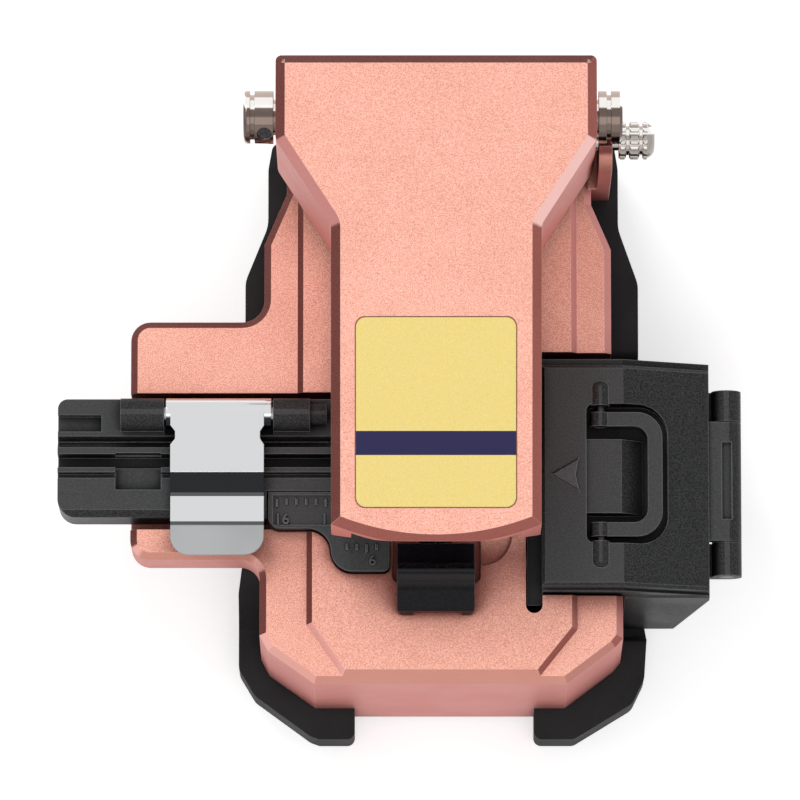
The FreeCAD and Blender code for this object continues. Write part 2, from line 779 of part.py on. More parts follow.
def make_lever_body():
    low = skirt_z - 3.0
    shell = lever_outline_face(low).extrude(UP * (lever_top_z + 5.0 - low))
    wide = (lever_x - lever_wide_half - 1.0, lever_x + lever_wide_half + 1.0)
    shell = shell.common(prism(lever_side(0.0, low, lever_nose - 1.0, lever_rear + 1.0), *wide, "YZ"))
    top = [f for f in shell.Faces if f.normalAt(0, 0).z > 0.5]
    rim = []
    for face in top:
        for edge in face.OuterWire.Edges:
            middle = edge.CenterOfMass
            if math.hypot(middle.x - lever_x, middle.y - lever_break_y) > 0.5:
                rim.append(edge)
    shell = shell.makeChamfer(lever_chamfer, rim)
    hollow = inset(lever_plan(), lever_wall)
    rear = lever_rear - lever_rear_wall
    hollow[0] = (hollow[0][0], rear)
    hollow[1] = (hollow[1][0], rear)
    hollow[4] = (hollow[4][0], lever_nose - 3.0)
    hollow[5] = (hollow[5][0], lever_nose - 3.0)
    inner = prism(hollow, low - 1.0, lever_top_z + 5.0)
    inner = inner.common(prism(lever_side(lever_roof, low - 1.0, lever_nose - 4.0, lever_rear), *wide, "YZ"))
    shell = shell.cut(inner)
    shell = shell.cut(prism(skirt_foot(), *wide, "YZ"))
    shell = shell.cut(block(lever_x - lever_wide_half + lever_wall, lever_x + lever_wide_half - lever_wall,
                            rear - 1.0, lever_rear + 1.0, 0.0, lever_rear_wall_foot))
    shell = shell.cut(rod_x(shaft_r + running_gap, wide[0], wide[1], hinge_y, hinge_z))
    shell = shell.cut(lock_groove())
    for x, y in arm_screw_places:
        shell = shell.cut(rod_z(screw_r + seat_gap, arm_foot_z, lever_surface(y) - lever_roof + 1.4, x, y))
    shell = shell.cut(label_solid(label_depth, 1.0, 0.1))
    return shell


label_left = -4.43
label_right = 11.67
label_rear = 5.96
label_front = -12.81
label_corner = 1.0
label_depth = 0.15
label_thickness = 0.22


def label_solid(below, above, gap):
    """Thin plate lying on the sloping front of the lever."""
    points = [
        (label_left - gap, label_rear + gap, label_corner), (label_left - gap, label_front - gap, label_corner),
        (label_right + gap, label_front - gap, label_corner), (label_right + gap, label_rear + gap, label_corner),
    ]
    tall = prism(points, 20.0, 50.0)
    side = [
        (20.0, lever_slope_z(20.0) - below), (20.0, lever_slope_z(20.0) + above),
        (-20.0, lever_slope_z(-20.0) + above), (-20.0, lever_slope_z(-20.0) - below),
    ]
    return tall.common(prism(side, label_left - 2.0, label_right + 2.0, "YZ"))


# Clamp arm, carrier and anvil inside the lever

arm_half = lever_narrow_half - lever_wall - 0.4
arm_front = -8.0
arm_rear = 5.2
arm_screw_places = [(centre_x - 2.6, 3.4), (centre_x + 2.6, 3.4)]
stem_r = 1.5
stem_top_z = 32.4
spring_seat_r = 2.3
spring_seat_z = arm_foot_z + 1.6
arm_bore_top = stem_top_z + clamp_lift + 0.4
spring_wire = 0.4
spring_r = stem_r + 0.45
spring_turns = 2.5


def make_clamp_arm():
    under = lever_roof
    arm = prism([
        (arm_rear, arm_foot_z), (arm_rear, lever_slope_z(arm_rear) - under),
        (arm_front, lever_slope_z(arm_front) - under), (arm_front, arm_foot_z),
    ], lever_x - arm_half, lever_x + arm_half, "YZ")
    for x, y in stop_places:
        foot = block(x - clamp_half, x + clamp_half, y - 1.5, y + 1.5, fibre_z + pad_gap, arm_foot_z)
        arm = arm.fuse(foot)
    for side in (-1, 1):
        x = centre_x + side * clamp_offset
        arm = arm.cut(rod_z(stem_r + running_gap, arm_foot_z - 1.0, arm_bore_top, x, fibre_y))
        arm = arm.cut(rod_z(spring_seat_r, arm_foot_z - 1.0, spring_seat_z, x, fibre_y))
    for x, y in arm_screw_places:
        arm = arm.cut(countersink(x, y, arm_foot_z, lever_slope_z(y) - arm_foot_z, 1))
    return arm.removeSplitter()


def make_arm_screws():
    return [countersunk(x, y, arm_foot_z, lever_slope_z(y) - lever_roof + 1.2 - arm_foot_z, 1)
            for x, y in arm_screw_places]


anvil_half_x = 1.3
anvil_front = fibre_y - 1.45
anvil_rear = fibre_y + 1.45
anvil_tip_z = fibre_z + 0.4


def make_anvil_holder():
    return block(centre_x - anvil_half_x, centre_x + anvil_half_x, anvil_front, anvil_rear,
                 anvil_tip_z + 1.0, arm_foot_z)


def make_anvil():
    return block(centre_x - anvil_half_x + 0.2, centre_x + anvil_half_x - 0.2, anvil_front + 0.2, anvil_rear - 0.2,
                 anvil_tip_z, anvil_tip_z + 1.0)


carrier_bar_z = 26.4
carrier_front = fibre_y - 3.55
carrier_rear = fibre_y + 3.55
upper_pad_z = fibre_z + pad_gap
carrier_foot_z = upper_pad_z + pad_thickness + 0.2


def make_clamp_carrier():
    left = centre_x - clamp_offset - clamp_half
    right = centre_x + clamp_offset + clamp_half
    carrier = block(left, right, carrier_front, carrier_rear, carrier_bar_z, carrier_top_z)
    gap = 0.45
    carrier = carrier.cut(block(centre_x - anvil_half_x - gap, centre_x + anvil_half_x + gap,
                                anvil_front - gap, anvil_rear + gap, carrier_bar_z - 1.0, carrier_top_z + 1.0))
    for side in (-1, 1):
        x = centre_x + side * clamp_offset
        foot = block(x - clamp_half, x + clamp_half, fibre_y - 2.0, fibre_y + 2.0, carrier_foot_z, carrier_bar_z)
        carrier = carrier.fuse(foot).fuse(rod_z(stem_r, carrier_top_z, stem_top_z, x, fibre_y))
    return carrier.removeSplitter()


def make_clamp_springs():
    """Short coils round the carrier's stems."""
    height = spring_seat_z - carrier_top_z - spring_wire
    half = spring_wire / 2
    coils = []
    for side in (-1, 1):
        x = centre_x + side * clamp_offset
        low = carrier_top_z + half
        helix = Part.makeHelix(height / spring_turns, height, spring_r)
        section = outline([(spring_r - half, -half), (spring_r + half, -half),
                           (spring_r + half, half), (spring_r - half, half)], "XZ")
        coil = Part.Wire(helix.Edges).makePipeShell([section], True, True)
        coil.translate(V(x, fibre_y, low))
        coils.append(coil)
    return coils


# Hinge of the lever

head_left = lever_x + lever_wide_half + 0.3
head_right = head_left + 2.39
collar_right = lever_x - lever_wide_half - 0.3
collar_left = collar_right - 3.04
shaft_left = collar_left + 0.29
head_groove_x = head_left + 0.8
collar_groove_x = collar_left + 0.69
groove_width = 0.45
groove_depth = 0.4


def make_hinge_shaft():
    shaft = rod_x(shaft_r, shaft_left, head_left, hinge_y, hinge_z)
    head = rod_x(head_r, head_left, head_right, hinge_y, hinge_z)
    rim = [e for e in head.Edges if e.Length > head_r and e.CenterOfMass.x > head_right - 0.01]
    head = head.makeChamfer(0.25, rim)
    ring = rod_x(head_r + 1.0, head_groove_x, head_groove_x + groove_width, hinge_y, hinge_z)
    ring = ring.cut(rod_x(head_r - groove_depth, head_groove_x, head_groove_x + groove_width, hinge_y, hinge_z))
    slot = block(head_right - 0.6, head_right + 1.0, hinge_y - 4.0, hinge_y + 4.0, hinge_z - 0.4, hinge_z + 0.4)
    return shaft.fuse(head).cut(ring).cut(slot).removeSplitter()


set_screw_x = collar_right - 0.9


def make_hinge_collar():
    collar = rod_x(head_r, collar_left, collar_right, hinge_y, hinge_z)
    rim = [e for e in collar.Edges if e.Length > head_r and e.CenterOfMass.x < collar_left + 0.01]
    collar = collar.makeFillet(0.35, rim)
    collar = collar.cut(rod_x(shaft_r + seat_gap, shaft_left, collar_right + 1.0, hinge_y, hinge_z))
    end = collar_groove_x + groove_width
    ring = rod_x(head_r + 1.0, collar_groove_x, end, hinge_y, hinge_z)
    ring = ring.cut(rod_x(head_r - groove_depth, collar_groove_x, end, hinge_y, hinge_z))
    return collar.cut(ring).cut(set_screw_rod(0.75, 0.0))


def set_screw_rod(r, sunk):
    """Radial rod at the front of the collar, from the shaft outwards."""
    tilt = math.radians(40.0)
    direction = V(0, -math.cos(tilt), math.sin(tilt))
    start = V(set_screw_x, hinge_y, hinge_z) + direction * (shaft_r + seat_gap)
    return Part.makeCylinder(r, head_r - shaft_r + 0.3 - sunk, start, direction)


def make_set_screw():
    return set_screw_rod(0.75 - seat_gap, 0.5)


def make_hinge_washers():
    washers = []
    for x in (cheek_left - 0.4, cheek_right + cheek_width + 0.1):
        ring = rod_x(3.0, x, x + 0.3, hinge_y, hinge_z)
        washers.append(ring.cut(rod_x(shaft_r + seat_gap, x - 1.0, x + 1.0, hinge_y, hinge_z)))
    return washers


# Lock pin

lock_tip_x = lever_x + lever_wide_half - lever_wall + 0.9
lock_head_left = ear_right + 0.7
lock_head_right = lock_head_left + lock_head_length


def make_lock_pin():
    shank = rod_x(lock_pin_r, lock_tip_x, lock_head_left, lock_y, lock_z)
    head = rod_x(lock_head_r, lock_head_left, lock_head_right, lock_y, lock_z)
    rim = [e for e in head.Edges if e.Length > lock_head_r and e.CenterOfMass.x > lock_head_right - 0.01]
    head = head.makeFillet(0.9, rim)
    for x in (lock_head_left + 0.75, lock_head_left + 2.1):
        ring = rod_x(lock_head_r + 1.0, x, x + 0.3, lock_y, lock_z)
        head = head.cut(ring.cut(rod_x(lock_head_r - 0.3, x, x + 0.3, lock_y, lock_z)))
    return shank.fuse(head).removeSplitter()


# Adapter, clip and scale plate

def adapter_profile():
    """Section of the adapter: a rear strip, three grooves and a front land."""
    top = adapter_top_z
    return [
        (adapter_rear, channel_floor), (adapter_rear, top - 0.6),
        (-3.33, top - 0.6), (fibre_y, top - 1.2), (-4.38, top - 0.6), (-4.58, top),
        (-5.25, top), (-5.34, top - 2.2), (-6.49, top - 2.2), (-6.6, top - 0.2),
        (-7.11, top - 0.2), (-7.2, top - 0.9), (-7.59, top - 0.9), (-7.7, top - 0.4),
        (adapter_front + 0.7, top - 0.4), (adapter_front, top - 1.1), (adapter_front, channel_floor),
    ]


knuckle_spans = ((-28.54, -24.1), (-12.95, -9.24))
clip_pin_left = -28.2
clip_pin_right = -9.6


def make_adapter():
    plan = prism([
        (adapter_left, adapter_rear, 1.0), (adapter_left, adapter_front, 1.8), (adapter_step_x, adapter_front),
        (adapter_step_x, adapter_step_y), (adapter_right, adapter_step_y), (adapter_right, adapter_rear),
    ], channel_floor, adapter_top_z + 2.0)
    body = prism(adapter_profile(), adapter_left - 1.0, adapter_right + 1.0, "YZ").common(plan)
    body = body.cut(block(adapter_left - 1.0, -30.53, -2.85, -1.15, adapter_top_z - 1.6, adapter_top_z + 1.0))
    body = body.cut(block(-29.1, -24.42, -8.88, -5.15, adapter_top_z - 1.5, adapter_top_z + 1.0))
    for x0, x1 in knuckle_spans:
        body = body.fuse(rod_x(knuckle_r, x0, x1, clip_axis_y, clip_axis_z))
        body = body.fuse(block(x0, x1, clip_axis_y - knuckle_r, clip_axis_y + knuckle_r,
                               adapter_top_z - 1.0, clip_axis_z))
    body = body.fuse(rod_x(1.05, knuckle_spans[1][1], -7.5, clip_axis_y, clip_axis_z - 0.1))
    body = body.cut(block(knuckle_spans[0][1], knuckle_spans[1][0], clip_axis_y - 2.0, adapter_rear + 1.0,
                          clip_axis_z - knuckle_r - 0.35, clip_axis_z + 3.0))
    body = body.cut(rod_x(clip_pin_r + seat_gap, clip_pin_left, clip_pin_right, clip_axis_y, clip_axis_z))
    body = body.cut(rod_z(1.5 + seat_gap, magnet_z - seat_gap, adapter_top_z, magnet_x, magnet_y))
    bite_z = channel_floor + adapter_screw_bite
    for x, y in adapter_screw_places:
        body = body.cut(rod_z(screw_r + seat_gap, channel_floor - 1.0, bite_z + seat_gap, x, y))
    return body.removeSplitter()


magnet_x = -18.65
magnet_y = -9.7
magnet_height = 1.5
magnet_z = adapter_top_z - 0.4 - magnet_height
adapter_screw_bite = 3.0


def make_adapter_screws():
    length = channel_floor - (ledge_z - wing_thickness) + adapter_screw_bite
    return [countersunk(x, y, ledge_z - wing_thickness, length, 1) for x, y in adapter_screw_places]


def make_clip_magnet():
    return rod_z(1.5, magnet_z, magnet_z + magnet_height, magnet_x, magnet_y)


def make_clip_pin():
    return rod_x(clip_pin_r, clip_pin_left + 0.1, clip_pin_right - 0.1, clip_axis_y, clip_axis_z)


clip_high_z = clip_axis_z + knuckle_r
clip_low_z = adapter_top_z + 0.45 + clip_thickness


def clip_line(drop):
    """Side view of the sprung leaf: flat, bend down, flat, and a lifted lip."""
    return [
        (clip_axis_y, clip_high_z - drop), (-7.43, clip_high_z - drop), (-9.4, clip_low_z - drop),
        (-12.63, clip_low_z - drop), (clip_front, clip_low_z + 0.9 - drop),
    ]


def make_clip():
    upper = clip_line(0.0)
    lower = clip_line(clip_thickness)
    leaf = prism(upper + lower[::-1], clip_left - 1.0, clip_right + 1.0, "YZ")
    plan = prism([
        (clip_left, 3.0), (clip_left, -2.6), (clip_left + 0.48, -3.2, 0.3), (clip_left + 0.48, -3.98, 0.3),
        (clip_left, -4.6), (clip_left, clip_front, 2.0), (clip_right, clip_front, 2.0), (clip_right, -4.6),
        (clip_right - 0.4, -3.98, 0.3), (clip_right - 0.4, -3.2, 0.3), (clip_right, -2.6), (clip_right, 3.0),
    ], 15.0, 30.0)
    leaf = leaf.common(plan)
    curl = rod_x(knuckle_r, clip_left, clip_right, clip_axis_y, clip_axis_z)
    for x0, x1 in ((clip_left - 0.46, clip_left + 1.0), (clip_right - 1.0, clip_right + 0.72)):
        curl = curl.fuse(rod_x(knuckle_r, x0, x1, clip_axis_y, clip_axis_z))
    eye = rod_x(clip_pin_r + running_gap, clip_left - 2.0, clip_right + 2.0, clip_axis_y, clip_axis_z)
    return leaf.fuse(curl).cut(eye).removeSplitter()


def make_clip_pad():
    return block(clip_left + 1.0, clip_right - 1.0, -6.6, -3.3, adapter_top_z + 0.3, clip_high_z - clip_thickness)


def make_scale_plate():
    tab = prism(tab_outline(0.0), scale_top_z - scale_tab_thickness, scale_top_z)
    foot = block(plate_left + 0.2, channel_end - 0.3, plate_front + 0.25, plate_rear - 0.1,
                 channel_floor, scale_top_z - scale_tab_thickness)
    plate = tab.fuse(foot).removeSplitter()
    border = block(plate_left + 0.45, channel_end + 1.0, plate_front + 0.35, plate_rear - 0.3,
                   scale_top_z - 0.2, scale_top_z + 1.0)
    return plate.cut(border)


# Scrap bin

def make_bin_box():
    outer = prism([
        (bin_left, notch_floor), (bin_left, bin_rim_z), (bin_slope_x, bin_rim_z), (bin_right, bin_right_rim_z),
        (bin_right, 17.0), (bin_foot_right, notch_floor, 0.6),
    ], bin_front, bin_rear, "XZ")
    inner = prism([
        (bin_left + bin_wall, notch_floor + bin_wall), (bin_left + bin_wall, bin_rim_z + 1.0),
        (bin_right - bin_wall, bin_rim_z + 1.0), (bin_right - bin_wall, 17.2),
        (bin_foot_right - bin_wall + 0.3, notch_floor + bin_wall),
    ], bin_front + bin_wall, bin_rear - bin_wall, "XZ")
    lean = prism([(bin_front + 0.1, notch_floor), (bin_front - bin_lean, notch_floor),
                  (bin_front - 0.2, bin_right_rim_z), (bin_front + 0.1, bin_right_rim_z)],
                 body_right_front + 0.2, bin_right + 1.0, "YZ")
    shadow = prism([(bin_slope_x, notch_floor), (bin_slope_x, bin_rim_z), (bin_right, bin_right_rim_z),
                    (bin_right, 17.0), (bin_foot_right, notch_floor)],
                   bin_front - bin_lean - 1.0, bin_front + 1.0, "XZ")
    box = outer.cut(inner).fuse(lean.common(shadow))
    tongue = block(notch_left + 0.15, bin_left, bin_front, notch_rear - 1.2, notch_floor, ledge_z - 0.4)
    tip = block(notch_left + 0.15, notch_left + slot_width - 0.1, slot_front + 0.9, bin_front,
                notch_floor, ledge_z - 0.4)
    box = box.fuse(tongue).fuse(tip)
    for y0, y1 in ((knuckle_rear_split + 0.1, barrel_rear), (barrel_front, knuckle_front_split - 0.1)):
        barrel = rod_y(barrel_r, y0, y1, lid_hinge_x, lid_hinge_z)
        arm = block(bin_right - 0.6, lid_hinge_x, y0, y1, lid_hinge_z - barrel_r, lid_hinge_z - 0.2)
        box = box.fuse(barrel).fuse(arm)
    box = box.cut(rod_y(lid_pin_r + seat_gap, barrel_front - 1.0, barrel_rear + 1.0, lid_hinge_x, lid_hinge_z))
    inlet = block(notch_left - 1.0, bin_left + bin_wall + 1.0, fibre_y - inlet_half, fibre_y + inlet_half,
                  bin_rim_z - 2.6, bin_rim_z + 1.0)
    box = box.cut(inlet)
    for z in bin_screw_heights:
        box = box.cut(rod_x(screw_r + seat_gap, notch_left, bin_left + bin_wall + 1.0, bin_screw_y, z))
    return box.removeSplitter()


def make_bin_screws():
    screws = []
    for z in bin_screw_heights:
        shank = rod_x(screw_r, bay_right + 0.3, bin_left + bin_wall, bin_screw_y, z)
        head = rod_x(screw_head_r, bin_left + bin_wall, bin_left + bin_wall + 1.0, bin_screw_y, z)
        drive = rod_x(screw_r * 0.6, bin_left + bin_wall + 0.5, bin_left + bin_wall + 2.0, bin_screw_y, z)
        screws.append(shank.fuse(head).cut(drive).removeSplitter())
    return screws


recess_left = 19.0
recess_right = 27.35
recess_rear = -0.28
recess_front = -14.65
recess_depth = 2.7
bowl_wall = 0.9
lid_gap = 0.1
inlet_half = 3.2


def lid_section():
    """End view of the lid plate, flat and then sloping down to its hinge."""
    return [
        (bin_left - 0.1, bin_rim_z + lid_gap), (bin_left - 0.1, bin_rim_z + lid_thickness),
        (bin_slope_x, bin_rim_z + lid_thickness), (bin_right - 0.1, bin_right_rim_z + lid_thickness),
        (bin_right - 0.1, bin_right_rim_z + lid_gap), (bin_slope_x, bin_rim_z + lid_gap),
    ]


def recess_plan(gap):
    return [
        (recess_left - gap, recess_rear + gap, 0.8 + gap), (recess_left - gap, recess_front - gap, 0.8 + gap),
        (recess_right + gap, recess_front - gap, 3.0 + gap), (recess_right + gap, recess_rear + gap, 3.0 + gap),
    ]


def make_bin_lid():
    rear = bin_rear - 0.9
    front = bin_front + 0.3
    plate = prism(lid_section(), front, rear, "XZ")
    upper = [e for e in plate.Edges if e.CenterOfMass.z > bin_right_rim_z + lid_thickness - 0.1
             and (e.CenterOfMass.y < front + 0.01 or e.CenterOfMass.y > rear - 0.01 or e.CenterOfMass.x < bin_left)
             and e.Length > 3.0]
    plate = plate.makeChamfer(0.35, upper)
    floor_z = bin_rim_z + lid_thickness - recess_depth
    bowl = prism(recess_plan(bowl_wall), floor_z - bowl_wall, bin_rim_z + 0.2)
    bowl = bowl.common(prism([
        (bin_left, floor_z - 5.0), (bin_left, bin_rim_z + lid_gap + 0.1),
        (bin_slope_x, bin_rim_z + lid_gap + 0.1), (bin_right, bin_right_rim_z + lid_gap + 0.1),
        (bin_right, floor_z - 5.0),
    ], front, rear, "XZ"))
    lid = plate.fuse(bowl)
    lid = lid.cut(prism(recess_plan(0.0), floor_z, bin_rim_z + 5.0))
    ramp = prism([(recess_left, floor_z), (recess_left, bin_rim_z + lid_thickness - 0.5),
                  (22.6, bin_rim_z + lid_thickness - 0.6), (24.77, floor_z + 0.5), (24.77, floor_z)],
                 -11.5, -3.88, "XZ")
    lid = lid.fuse(ramp)
    for y0, y1, end in ((recess_rear - 0.2, 2.03, 2.03), (-17.21, recess_front + 0.2, -17.21)):
        boss = rod_y(0.96, y0, y1, bail_x, bail_z + 0.4)
        tip = [e for e in boss.Edges if abs(e.CenterOfMass.y - end) < 0.01]
        lid = lid.fuse(boss.makeFillet(0.6, tip))
    middle = rod_y(barrel_r, knuckle_front_split, knuckle_rear_split, lid_hinge_x, lid_hinge_z)
    arm = block(bin_right - 0.4, lid_hinge_x, knuckle_front_split, knuckle_rear_split,
                bin_right_rim_z + 0.3, lid_hinge_z + barrel_r)
    lid = lid.fuse(middle).fuse(arm)
    lid = lid.cut(block(lid_hinge_x - 0.5, lid_hinge_x + 0.5, -11.6, -3.6, lid_hinge_z + 1.1, lid_hinge_z + 3.0))
    lid = lid.cut(rod_y(lid_pin_r + running_gap, barrel_front, barrel_rear, lid_hinge_x, lid_hinge_z))
    for y0, y1 in ((recess_rear - 1.5, 1.4), (-16.6, recess_front + 1.5)):
        lid = lid.cut(rod_y(bail_pin_r + seat_gap, y0, y1, bail_x, bail_z))
    lid = lid.cut(bail_sweep())
    inlet = block(bin_left - 1.0, bin_left + bin_wall + 0.2, fibre_y - inlet_half, fibre_y + inlet_half,
                  bin_rim_z - 1.0, bin_rim_z + 0.8)
    return lid.cut(inlet).removeSplitter()


def bail_sweep():
    """Room for the bail's arm ends to turn in the lid."""
    room = rod_y(1.2, bail_rear - bail_arm - 0.15, bail_rear + 0.15, bail_x, bail_z)
    return room.fuse(rod_y(1.2, bail_front - 0.15, bail_front + bail_arm + 0.15, bail_x, bail_z))


def make_bail():
    """Bail handle: two arms and a grip bar, lying in the recess."""
    low = bail_z - 0.75
    high = bail_z + 0.75
    loop = prism([
        (bail_x, bail_rear), (bail_x, bail_front), (bail_right, bail_front, 2.6), (bail_right, bail_rear, 2.6),
    ], low, high)
    gap = prism([
        (bail_x - 2.0, bail_rear - bail_arm), (bail_x - 2.0, bail_front + bail_arm),
        (bail_right - 1.5, bail_front + bail_arm, 1.4), (bail_right - 1.5, bail_rear - bail_arm, 1.4),
    ], low - 1.0, high + 1.0)
    bail = loop.cut(gap)
    for y in (bail_rear - bail_arm, bail_front):
        bail = bail.fuse(rod_y(1.05, y, y + bail_arm, bail_x, bail_z))
    bore = rod_y(bail_pin_r + running_gap, bail_front - 1.0, bail_rear + 1.0, bail_x, bail_z)
    return bail.cut(bore).removeSplitter()


def make_bail_pins():
    return [rod_y(bail_pin_r, bail_rear - bail_arm + 0.1, 1.3, bail_x, bail_z),
            rod_y(bail_pin_r, -16.5, bail_front + bail_arm - 0.1, bail_x, bail_z)]


def make_lid_pin():
    return rod_y(lid_pin_r, barrel_front, barrel_rear, lid_hinge_x, lid_hinge_z)


def main():
    os.makedirs("parts", exist_ok=True)
    save("base_body", make_base_body())
    save("bottom_plate", make_bottom_plate())
    save("bottom_screws", *[countersunk(x, y, boot_floor, 7.5, 1) for x, y in plate_screws])
    save("boot_left", make_boot_left())
    save("boot_right", make_boot_right())
    save("guide_rail", make_guide_rail())
    save("rail_screws", *[countersunk(centre_x, y, boot_floor, 3.9, 1) for y in rail_screw_rows])
    save("carriage", make_carriage())
    save("carriage_knob", make_knob())
    save("knob_screw", make_knob_screw())
    save("blade_bracket", make_blade_bracket())
    save("bracket_screws", *make_bracket_screws())
    save("height_screw", make_height_screw())
    save("blade_wheel", make_blade())
    save("blade_screw", make_blade_screw())
    save("clamp_blocks", *make_clamp_blocks())
    save("clamp_block_screws", *make_clamp_block_screws())
    save("lower_clamp_pads", *pad_pair(clamp_block_z, fibre_z))
    save("stop_pads", *make_stop_pads())
    save("lever_body", make_lever_body())
    save("label_plate", label_solid(label_depth, label_thickness - label_depth, 0.0))
    save("clamp_arm", make_clamp_arm())
    save("arm_screws", *make_arm_screws())
    save("anvil_holder", make_anvil_holder())
    save("anvil", make_anvil())
    save("clamp_carrier", make_clamp_carrier())
    save("upper_clamp_pads", *pad_pair(upper_pad_z, carrier_foot_z))
    save("clamp_springs", *make_clamp_springs())
    save("hinge_shaft", make_hinge_shaft())
    save("hinge_collar", make_hinge_collar())
    save("collar_set_screw", make_set_screw())
    save("hinge_washers", *make_hinge_washers())
    save("lock_pin", make_lock_pin())
    save("adapter", make_adapter())
    save("adapter_screws", *make_adapter_screws())
    save("clip_magnet", make_clip_magnet())
    save("clip_pin", make_clip_pin())
    save("fibre_clip", make_clip())
    save("clip_pad", make_clip_pad())
    save("scale_plate", make_scale_plate())
    save("bin_box", make_bin_box())
    save("bin_screws", *make_bin_screws())
    save("bin_lid", make_bin_lid())
    save("lid_hinge_pin", make_lid_pin())
    save("bin_handle", make_bail())
    save("handle_pins", *make_bail_pins())


main()
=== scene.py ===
# %% [markdown]
# A fibre cleaver is a small bench tool of anodised aluminium. A lever presses a glass fibre down,
# and a little wheel under the deck scores it as the knob is pushed.
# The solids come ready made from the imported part, so this lesson only dresses them:
# it gives each piece its finish and adds the raised marks that are too small for the solids.
# Sizes on the tool are written in millimetres, and MM turns them into Blender's metres.

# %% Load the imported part
import math

import bpy
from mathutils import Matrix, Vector


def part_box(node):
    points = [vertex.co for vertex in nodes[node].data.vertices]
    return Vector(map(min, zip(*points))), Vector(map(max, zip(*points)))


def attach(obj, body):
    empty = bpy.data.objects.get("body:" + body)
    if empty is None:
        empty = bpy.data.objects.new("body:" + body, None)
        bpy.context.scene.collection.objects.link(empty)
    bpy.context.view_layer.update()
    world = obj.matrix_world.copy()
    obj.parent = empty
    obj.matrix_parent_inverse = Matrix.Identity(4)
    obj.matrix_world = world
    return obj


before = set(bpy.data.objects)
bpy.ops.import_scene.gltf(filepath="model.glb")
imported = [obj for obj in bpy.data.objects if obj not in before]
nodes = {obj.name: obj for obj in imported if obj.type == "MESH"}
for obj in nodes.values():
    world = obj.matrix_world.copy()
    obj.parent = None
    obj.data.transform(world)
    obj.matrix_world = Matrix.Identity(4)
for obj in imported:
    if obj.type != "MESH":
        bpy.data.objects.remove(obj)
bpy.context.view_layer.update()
MM = 0.001

# %% [markdown]
# A finish is built from small parts. Node groups hold the effects that several finishes share,
# so that grain or rounded edges are worked out once and then placed with other numbers.
# Every node could be made and joined by hand where it is used, but a finish is easier to follow
# when these helpers hide the wiring: an empty group, one maths node, a ramp, and three axes.

# %% Helpers for node groups


def start_group(name, inputs, outputs):
    """An empty shader group with float inputs and outputs, and its two end nodes."""
    tree = bpy.data.node_groups.new(name, "ShaderNodeTree")
    for label, value in inputs.items():
        socket = tree.interface.new_socket(name=label, in_out="INPUT", socket_type="NodeSocketFloat")
        socket.default_value = value
    for label in outputs:
        tree.interface.new_socket(name=label, in_out="OUTPUT", socket_type="NodeSocketFloat")
    return tree, tree.nodes.new("NodeGroupInput"), tree.nodes.new("NodeGroupOutput")


def maths(tree, operation, first, second=None):
    """One maths node; each operand is a number or a socket."""
    node = tree.nodes.new("ShaderNodeMath")
    node.operation = operation
    for i, operand in enumerate((first, second)):
        if isinstance(operand, (int, float)):
            node.inputs[i].default_value = operand
        elif operand is not None:
            tree.links.new(operand, node.inputs[i])
    return node.outputs[0]


def step_between(tree, value, low, high):
    """0 below low, 1 above high, and a smooth ramp between them."""
    node = tree.nodes.new("ShaderNodeMapRange")
    node.interpolation_type = "SMOOTHSTEP"
    node.inputs["From Min"].default_value = low
    node.inputs["From Max"].default_value = high
    tree.links.new(value, node.inputs["Value"])
    return node.outputs["Result"]


def object_axes(tree, kind):
    """X, Y and Z of the object's own "Object" coordinates or of its own "Normal"."""
    split = tree.nodes.new("ShaderNodeSeparateXYZ")
    tree.links.new(tree.nodes.new("ShaderNodeTexCoord").outputs[kind], split.inputs["Vector"])
    return split.outputs["X"], split.outputs["Y"], split.outputs["Z"]


print("helpers ready")

# %% [markdown]
# Bead blasting leaves a fine, even sparkle in the metal, and moulded plastic has a like grain.
# A picture of grain could be wrapped round each piece, but it would show seams and a direction.
# Noise over the object's own coordinates has neither, and stays with a piece that moves.
# The group takes the grain's size in millimetres and puts out a mask and a height.

# %% Grain group
GRAIN_DETAIL = 1.5
GRAIN_ROUGHNESS = 0.6
GRAIN_RAMP = (0.3, 0.7)


def make_grain_group():
    tree, given, result = start_group("fine grain", {"Size": 0.1}, ["Mask", "Height"])
    place = tree.nodes.new("ShaderNodeTexCoord").outputs["Object"]
    noise = tree.nodes.new("ShaderNodeTexNoise")
    noise.inputs["Detail"].default_value = GRAIN_DETAIL
    noise.inputs["Roughness"].default_value = GRAIN_ROUGHNESS
    tree.links.new(place, noise.inputs["Vector"])
    tree.links.new(maths(tree, "DIVIDE", 1 / MM, given.outputs["Size"]), noise.inputs["Scale"])
    tree.links.new(step_between(tree, noise.outputs["Fac"], *GRAIN_RAMP), result.inputs["Mask"])
    tree.links.new(noise.outputs["Fac"], result.inputs["Height"])
    return tree


grain_group = make_grain_group()
print("group:", grain_group.name)

# %% [markdown]
# Handling leaves broad, faint differences in gloss on every finish. They could be painted, but a
# second noise with patches some 6 mm wide gives them for nothing. It is kept in a group
# of its own, because all the finishes use it at the same size and only their gloss differs.

# %% Handling group
PATCHES_PER_METRE = 160.0
PATCH_DETAIL = 4.0
PATCH_RAMP = (0.35, 0.65)


def make_handling_group():
    tree, given, result = start_group("handling marks", {"Low": 0.4, "High": 0.5}, ["Roughness"])
    place = tree.nodes.new("ShaderNodeTexCoord").outputs["Object"]
    noise = tree.nodes.new("ShaderNodeTexNoise")
    noise.inputs["Scale"].default_value = PATCHES_PER_METRE
    noise.inputs["Detail"].default_value = PATCH_DETAIL
    tree.links.new(place, noise.inputs["Vector"])
    spread = maths(tree, "SUBTRACT", given.outputs["High"], given.outputs["Low"])
    share = step_between(tree, noise.outputs["Fac"], *PATCH_RAMP)
    rise = maths(tree, "MULTIPLY", spread, share)
    tree.links.new(maths(tree, "ADD", given.outputs["Low"], rise), result.inputs["Roughness"])
    return tree


